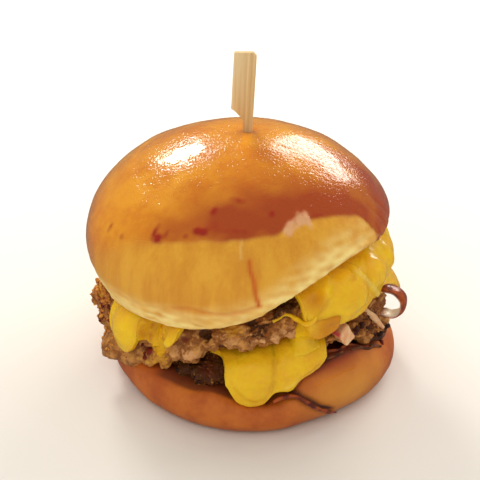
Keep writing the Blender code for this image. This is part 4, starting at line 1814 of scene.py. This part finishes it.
@dataclass
class Studio:
    """The floor, the soft lights and the camera."""

    camera_place: Vector = field(default_factory=lambda: Vector((-0.0632, -0.4998, 0.337)))
    pitch: float = math.radians(31.8)
    focal_pixels: float = 816.0
    middle_pixel: float = 240.0
    aim_pixel: tuple[float, float] = (322.0, 211.0)
    lens: float = 115.0
    sensor: float = 36.0
    floor_size: float = 6.0
    floor_colour: Colour = (0.84, 0.79, 0.72)
    world_colour: Colour = (1.0, 0.985, 0.96)
    world_strength: float = 0.56
    world_mirrored: float = 0.18
    lit_point: Vector = field(default_factory=lambda: Vector((0, 0, 0.055)))

    def camera(self) -> None:
        """Sets the camera up in front and above, looking down at the burger."""
        data = bpy.data.cameras.new("camera")
        data.lens, data.sensor_width = self.lens, self.sensor
        data.clip_start, data.clip_end = 0.01, 50
        camera = bpy.data.objects.new("camera", data)
        bpy.context.scene.collection.objects.link(camera)
        across = self.aim_pixel[0] - self.middle_pixel
        up = self.middle_pixel - self.aim_pixel[1]
        ahead = Vector((0, 0, -1))
        swing = ahead.rotation_difference(Vector((across, up, -self.focal_pixels)))
        level = Matrix.Rotation(math.pi / 2 - self.pitch, 4, "X")
        place = Matrix.Translation(self.camera_place)
        camera.matrix_world = place @ level @ swing.to_matrix().to_4x4()
        bpy.context.scene.camera = camera

    def floor(self) -> None:
        """Lays a plain pale floor."""
        bm = bmesh.new()
        bmesh.ops.create_grid(bm, x_segments=1, y_segments=1, size=self.floor_size / 2)
        material = bpy.data.materials.new("plain_floor")
        material.use_nodes = True
        shader = material.node_tree.nodes["Principled BSDF"]
        shader.inputs["Base Color"].default_value = (*self.floor_colour, 1)
        shader.inputs["Roughness"].default_value = 0.7
        floor = finished("floor", bm, material)
        floor.visible_glossy = False

    def light(
        self, name: str, azimuth: float, rise: float, away: float, size: tuple[float, float],
        power: float, colour: Colour, mirrored: bool = True,
    ) -> None:
        """Adds a soft rectangular light that faces the burger.

        Args:
            name: The light's name.
            azimuth: Its direction from the burger, in degrees.
            rise: Its angle above the floor, in degrees.
            away: Its distance, in metres.
            size: Its width and height, in metres.
            power: Its power, in watts.
            colour: Its colour.
            mirrored: Whether glossy surfaces show it.
        """
        data = bpy.data.lights.new(name, "AREA")
        data.shape = "RECTANGLE"
        data.size, data.size_y = size
        data.energy, data.color = power, colour
        light = bpy.data.objects.new(name, data)
        bpy.context.scene.collection.objects.link(light)
        flat = away * math.cos(math.radians(rise))
        offset = around(math.radians(azimuth), flat, away * math.sin(math.radians(rise)))
        light.location = self.lit_point + offset
        light.rotation_euler = (-offset).to_track_quat("-Z", "Y").to_euler()
        light.visible_camera = False
        light.visible_glossy = mirrored

    def build(self) -> None:
        """Builds the whole studio."""
        self.camera()
        self.floor()
        world = bpy.data.worlds.new("studio")
        world.use_nodes = True
        background = world.node_tree.nodes["Background"]
        background.inputs["Color"].default_value = (*self.world_colour, 1)
        graph = Graph(world.node_tree)
        glossy = graph.add("LightPath").outputs["Is Glossy Ray"]
        strength = graph.span(glossy, self.world_strength, self.world_mirrored)
        graph.feed(background.inputs["Strength"], strength)
        bpy.context.scene.world = world
        bpy.context.scene.view_settings.view_transform = "Standard"
        self.light("window_left", -162.5, 30, 0.9, (0.22, 0.13), 2.5, (1.0, 0.99, 0.96))
        self.light("window_right", 150, 26, 0.9, (0.42, 0.24), 2.6, (1.0, 0.93, 0.86))
        self.light("sky_left", -140, 40, 1.0, (0.6, 0.5), 3.4, (1.0, 0.99, 0.95), False)
        self.light("sky_right", 120, 35, 1.0, (0.6, 0.5), 2.6, (1.0, 0.97, 0.93), False)
        self.light("front_fill", -20, 40, 1.2, (1.0, 0.7), 4.2, (1.0, 0.98, 0.94), False)


BUN_FACE = Face(16.5 * MM, 0.05)
LOWER_FACE = Face(30.0 * MM, 0.22)
UPPER_FACE = Face(49.5 * MM, 0.27, Outline((
    (-180, 0), (-60, 0), (-12, 0), (0, 2.2), (13, 5.2), (24, 6.2), (36, 5.6), (49, 4), (62, 2),
    (85, 0),
)))


def lower_patty() -> Patty:
    """The lower patty: painted dark at the front as shade, where it sits deep in the filling."""
    return Patty(
        name="smashed_patty_lower",
        radius=Outline((
            (-180, 50), (-120, 48), (-90, 43.5), (-70, 43), (-45, 43.5), (-36, 45), (-29, 47.8),
            (-22, 50), (-10, 50.3), (10, 49.8), (22, 49), (32, 48.2), (42, 48.5), (52, 51),
            (62, 52.5), (78, 53), (90, 52.3), (130, 50),
        )),
        edge_height=Outline((
            (-180, 17.8), (-90, 16), (-45, 16.5), (-20, 17.4), (0, 18), (8, 19), (16, 24),
            (30, 27), (45, 26), (62, 21.5), (80, 18.8), (120, 18),
        )),
        under=BUN_FACE, lift=0.6 * MM, top=LOWER_FACE, flat_to=34 * MM, seed=3,
        lumps=(
            Patch(-40, 17.5, 9, 4, 5.5, 0, 0.9), Patch(-31, 17.5, 10, 4, 4.6, 0, 0.9),
            Patch(-21, 18, 9, 4, 3.2), Patch(72, 22, 13, 7, 3.6), Patch(58, 26, 8, 6, 2.2),
            Patch(46, 29, 7, 4, 1.6),
        ),
        # Dark patches: painted shade at the front, where the patty sits recessed under the upper one, and
        # dark crust at the right.
        dark=(
            Patch(-30, 20, 22, 12, 0.75), Patch(67, 22, 7, 3.4, 0.9, 20), Patch(46, 32, 5, 3, 0.6),
            Patch(56, 29, 7, 3, 0.4), Patch(-15, 25, 8, 9, 0.7), Patch(58, 33, 10, 5, 0.45),
            Patch(64, 27, 7, 4, 0.35),
        ),
        pitted=0.0,
        pale=(Patch(60, 36, 9, 3, 0.35),),
        red=(Patch(71, 19, 5, 2.4, 0.9), Patch(-24, 22, 5, 3, 0.45), Patch(57, 31, 2, 2, 0.6)),
        wet=0.5, sear_and_shade=0.42,
    )


def upper_patty() -> Patty:
    """The upper patty: tan and pink at the front, drooping over the left side."""
    return Patty(
        name="smashed_patty_upper",
        radius=Outline((
            (-180, 51), (-130, 52), (-95, 54.5), (-80, 55.5), (-66, 54), (-50, 54),
            (-25, 53.5), (0, 53), (25, 51.5), (50, 49.5), (85, 48.5), (130, 50),
        )),
        edge_height=Outline((
            (-180, 34), (-110, 24), (-85, 20), (-60, 17.8), (-42, 18.6), (-29, 24.5),
            (-21, 30), (-9, 32.2), (0, 34.2), (12, 37.2), (30, 42), (50, 45), (90, 46),
            (140, 42),
        )),
        under=LOWER_FACE, lift=4.0 * MM, top=UPPER_FACE, flat_to=43.8 * MM, seed=11,
        lumps=(
            Patch(-31, 28, 9, 6, 1.3), Patch(-13, 38, 7, 6, 0.8), Patch(6, 40, 13, 5, 1.1, 20),
            Patch(-5, 46, 8, 5, 0.9), Patch(12, 52, 9, 4, 0.6, 30), Patch(-57, 18.5, 9, 5, 4.0, 0, 1.0),
            Patch(-0.5, 32.5, 3, 1.6, 1.8), Patch(-74, 19, 12, 6, 5.0),
            Patch(-66, 18.5, 13, 6, 5.0, 0, 1.0), Patch(-47, 20, 7, 4, 2.5),
            Patch(-84, 31, 13, 10, 6.5, 0, 1.0), Patch(-72, 22, 12, 8, 5.0, 0, 1.0),
        ),
        # Dark patches: sunk pits with dark crust, and painted shade under the top bun's rim near the top.
        dark=(
            Patch(-24.5, 39, 3.4, 3.8, 1.3, 40), Patch(-17, 34.5, 3.2, 1.6, 0.7),
            Patch(3, 46.6, 9, 2.0, 0.45, 20), Patch(8, 53, 10, 3.6, 0.8, 25),
            Patch(-7, 47, 4, 4, 0.6), Patch(3.5, 34.2, 7, 1.5, 0.7, 12), Patch(-6, 39.5, 3, 2.4, 0.4),
            Patch(-80, 24, 9, 5, 0.35), Patch(-3, 43, 6, 4, 0.55), Patch(10, 51, 9, 3.5, 0.5, 25),
        ),
        pale=(
            Patch(8, 41, 15, 4.2, 1.0, 14), Patch(-31, 29.5, 8, 5, 0.9), Patch(-14, 39, 5, 4, 0.5),
            Patch(-2, 40, 6, 4, 0.5),
        ),
        stained=(
            Patch(-45, 31, 7, 9, 0.8), Patch(-44, 22, 6, 4, 0.5), Patch(-14, 43, 7, 4, 0.6),
            Patch(14, 50, 8, 3, 0.35, 20), Patch(18, 45, 5, 6, 0.6), Patch(-80, 34, 6, 5, 0.7),
            Patch(-62, 19, 9, 5, 0.3), Patch(-49, 18, 8, 5, 0.35), Patch(-28, 33, 5, 3, 0.3),
        ),
        red=(
            Patch(-52, 24, 2.6, 3.8, 0.9, -20), Patch(-33, 34.5, 2.2, 1.6, 0.8),
            Patch(-76, 30, 5, 9, 0.45), Patch(-66, 17, 6, 3, 0.3), Patch(0, 33, 3, 1.3, 0.8),
        ),
        wet=0.25, sear_and_shade=0.16,
    )


def lower_slice(patty: Patty) -> CheeseSlice:
    """The slice on the lower patty, which hangs in a long double tongue at the front."""
    return CheeseSlice(
        name="melted_cheese_lower",
        patty=patty,
        hang=Outline((
            (-180, 14), (-160, 4), (-135, 1.5), (-110, 0.2), (-90, 0.1), (-25, 0.1), (-17, 1.5),
            (-14, 6), (-10.5, 12.5), (-6, 15.2), (-2.5, 15.8), (0.8, 15.2), (2.8, 13), (4.2, 11.3),
            (7.5, 11), (11, 11.2), (12.8, 8.2), (15, 6.8), (22, 6.8), (24.4, 4.2), (27.5, 1.4),
            (34, 0.8), (50, 0.4), (75, 4), (92, 12), (110, 4), (150, 3),
        )),
        seed=31,
        folds=(
            Trace(((4.4, 33), (3.8, 27), (3.6, 20.5)), 0.9, -1.1),
            Trace(((-12, 25), (-8, 19.5), (-3, 17), (1, 18)), 1.3, 0.3),
            Trace(((14, 27), (18, 28.5), (24, 31)), 1.4, 0.6),
        ),
        swells=(
            Patch(-4, 25, 8, 9, 1.5, 0, 1.0), Patch(13, 30, 9, 8, 1.3, 20, 1.0),
            Patch(-3, 18, 5, 3.5, 0.8), Patch(9, 22, 4, 3, 0.6),
        ),
        thin=(Patch(24, 38, 8, 6, 0.5),),
        painted_glint=(Trace(((8, 21.5), (13, 24), (19, 26.5)), 0.6, 0.35),),
    )


def upper_slice(patty: Patty) -> CheeseSlice:
    """The slice on the upper patty, with two tongues at the left and a wide one at the right."""
    return CheeseSlice(
        name="melted_cheese_upper",
        patty=patty,
        hang=Outline((
            (-180, 3), (-140, 14), (-105, 4), (-86, 1.2), (-75, 1.2), (-71, 3), (-69, 7),
            (-66, 12.3), (-61, 15.2), (-56.5, 16.4), (-53, 13.5), (-50.3, 8), (-47, 2), (-43, 3),
            (-36.5, 9), (-29, 1), (-10, 0.4), (8, 0.4), (11.5, 1.5), (14, 8), (16, 12),
            (20, 14), (27, 13.2), (36, 12.7), (43, 12.5), (48.5, 10), (54, 9.2), (62, 7.5),
            (90, 3), (130, 15), (155, 4),
        )),
        seed=41,
        folds=(
            Trace(((40, 61), (43, 57), (47, 52), (49, 49.5)), 0.9, 1.6),
            Trace(((26, 60), (30, 59), (36, 60)), 1.1, 0.8),
            Trace(((26, 48), (29, 46.5), (34, 46), (41, 47.5)), 1.0, 0.8),
            Trace(((15, 50), (17, 52.2), (21, 55.8), (24, 58.9), (25.2, 61)), 1.3, 1.5),
        ),
        swells=(
            Patch(33.5, 54, 8.5, 8, 2.2, 0, 0.8), Patch(-59.5, 31, 7, 10, 1.9, 12, 0.9),
            Patch(52, 56.5, 7, 5.5, 1.8, 0, 0.9), Patch(22, 57, 4, 4, 0.7),
            Patch(43, 54, 2.2, 6, -1.0, -20),
            Patch(-36, 37, 4, 3, 0.7), Patch(31, 49, 3, 2.4, 0.7), Patch(38, 51, 3, 3, 0.6),
            Patch(29, 57.5, 3, 2, 0.7), Patch(66, 57, 4, 5, 0.8),
        ),
        thin=(
            Patch(18.5, 46, 9.5, 5, 0.9, 0, 0.9), Patch(-40, 40, 7, 3.4, 0.8),
            Patch(17.5, 56, 5.5, 4.5, 1.0, 0, 0.8), Patch(36, 60.5, 4, 1.6, 0.6),
            Patch(-50, 38, 4, 6, 0.6), Patch(43, 58, 2.4, 3, 0.4),
        ),
        painted_glint=(
            Trace(((40, 60.5), (43, 57), (47, 52), (49, 50)), 0.6, 0.8),
            Trace(((-42, 39), (-39.5, 36), (-37, 33.5)), 0.6, 0.6),
        ),
    )


def attach(piece: bpy.types.Object, slot: str, *nodes: str) -> None:
    """Puts a piece on the burger and reports it.

    Args:
        piece: The piece.
        slot: Not used.
        nodes: The plain solids that it stands for, if any.
    """
    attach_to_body(piece, BODY)
    if nodes:
        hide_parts(*nodes)
    log.info("%s: %d faces", piece.name, len(piece.data.polygons))


@dataclass
class Larder:
    """Every finish, each made once."""

    effects: Effects = field(default_factory=Effects)

    def __post_init__(self) -> None:
        """Makes the finishes."""
        self.bottom_crust = self._make(BottomCrust("bottom_crust", coat_roughness=0.2))
        self.top_crust = self._make(TopCrust("glazed_crust", coat_roughness=0.09))
        self.meat = self._make(Meat("smashed_meat"))
        self.cheese = self._make(
            Cheese("melted_cheese", subsurface=0.3, subsurface_radius=(1.0, 0.6, 0.1))
        )
        self.stretched = self._make(
            StretchedCheese("stretched_cheese", subsurface=0.4, subsurface_radius=(1.0, 0.45, 0.05))
        )
        self.raw_onion = self._make(
            RawOnion("raw_red_onion", subsurface=0.2, subsurface_radius=(1.0, 0.6, 0.4))
        )
        self.fried_onion = self._make(FriedOnion("fried_onion"))
        self.bamboo = self._make(Bamboo("bamboo"))
        self.crumbs = self._make(Crumbs("crisp_crumbs"))
        self.charred = self._make(
            Crumbs("charred_bits", first=(0.10, 0.02, 0.012), second=(0.015, 0.008, 0.007))
        )
        # Dark scraps that also stand for painted shade along the bottom bun's crest.
        self.scraps_and_shade = self._make(Crumbs(
            "crest_scraps_and_shade", first=(0.24, 0.07, 0.016), second=(0.05, 0.014, 0.007), clouds=260.0
        ))
        self.ruby = self._make(
            Crumbs("ruby_bits", first=(0.30, 0.02, 0.01), second=(0.10, 0.012, 0.004))
        )

    def _make(self, finish: Finish) -> bpy.types.Material:
        """The material of one finish."""
        return finish.make(self.effects)


@dataclass
class Burger:
    """The whole burger, layer by layer, with the pieces that lie on its sides."""

    larder: Larder
    bottom_bun: BottomBun = field(default_factory=lambda: BottomBun(BUN_FACE))

    def build_layers(self) -> list[bpy.types.Object]:
        """Builds the buns, the patties and the slices.

        Returns:
            The bottom bun and the filling, from the bottom up.
        """
        larder, low, high = self.larder, lower_patty(), upper_patty()
        bread = self.bottom_bun.build(larder.bottom_crust)
        attach(bread, "bun_heel_crust", "bun_heel")
        low_meat = low.build(larder.meat)
        attach(low_meat, "meat", "patty_lower")
        low_cheese = lower_slice(low).build(larder.cheese)
        attach(low_cheese, "cheese", "cheese_lower")
        high_meat = high.build(larder.meat)
        attach(high_meat, "meat", "patty_upper")
        high_cheese = upper_slice(high).build(larder.cheese)
        attach(high_cheese, "cheese", "cheese_upper")
        attach(TopBun(high).build(larder.top_crust), "bun_top_crust", "bun_top")
        return [bread, low_meat, low_cheese, high_meat, high_cheese]

    def build_trimmings(self) -> None:
        """Builds the pick and the three larger pieces of onion."""
        larder = self.larder
        attach(Pick().build(larder.bamboo), "bamboo", "pick")
        attach(OnionDice().build(larder.raw_onion), "onion", "onion_dice")
        attach(OnionLoop().build(larder.fried_onion), "fried_onion", "onion_loop")
        strand = OnionStrand(self.bottom_bun).build(larder.fried_onion)
        attach(strand, "fried_onion", "onion_strand")

    def build_cheese_threads(self, filling: Surface) -> None:
        """Builds the string, the film and the curtain of cheese that lie on the filling."""
        for string in Strings(filling).build(self.larder.cheese):
            attach(string, "cheese")
        film = Film(
            "cheese_film_left", filling,
            left=((-54, 40), (-51.5, 33), (-50.5, 27), (-48, 24)),
            right=((-36, 40), (-38, 33), (-41, 27), (-44, 23)),
        )
        attach(film.build(self.larder.stretched), "cheese")
        curtain = Film(
            "cheese_curtain", filling,
            left=((13.5, 50), (12.5, 45), (11.5, 39), (10.5, 32)),
            right=((28, 50), (28, 45), (26.5, 39), (24, 33)),
            rounds=200, rough=0.6, clearance=1.0, thickness=1.2,
        )
        attach(curtain.build(self.larder.cheese), "cheese")

    def build_bits(self, filling: Surface, whole: Surface) -> None:
        """Builds the strips, and the bits of onion, crumb and charring, on the sides; the dark strips also
        stand for painted shade.
        """
        larder = self.larder
        attach(HangingStrip(filling).build(larder.raw_onion), "onion")
        finishes = [
            larder.fried_onion, larder.scraps_and_shade, larder.fried_onion, larder.scraps_and_shade, larder.scraps_and_shade,
        ]
        for strip in Strips(self.bottom_bun).build(finishes):
            attach(strip, "fried_onion")
        left, right = Bits.sides(whole)
        attach(left.build(larder.crumbs), "fried_onion")
        for bits, finish in zip(right, (larder.charred, larder.ruby, larder.crumbs)):
            attach(bits.build(finish), "fried_onion")


def main() -> None:
    """Builds the studio and the burger, from the bottom bun up."""
    noise.seed_set(WOBBLE_SEED)
    logging.basicConfig(level=logging.INFO, format="%(name)s: %(message)s")
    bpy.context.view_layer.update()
    Studio().build()
    burger = Burger(Larder())
    layers = burger.build_layers()
    burger.build_trimmings()
    filling, whole = Surface(layers[1:]), Surface(layers)
    burger.build_cheese_threads(filling)
    burger.build_bits(filling, whole)


if __name__ == "__main__":
    main()
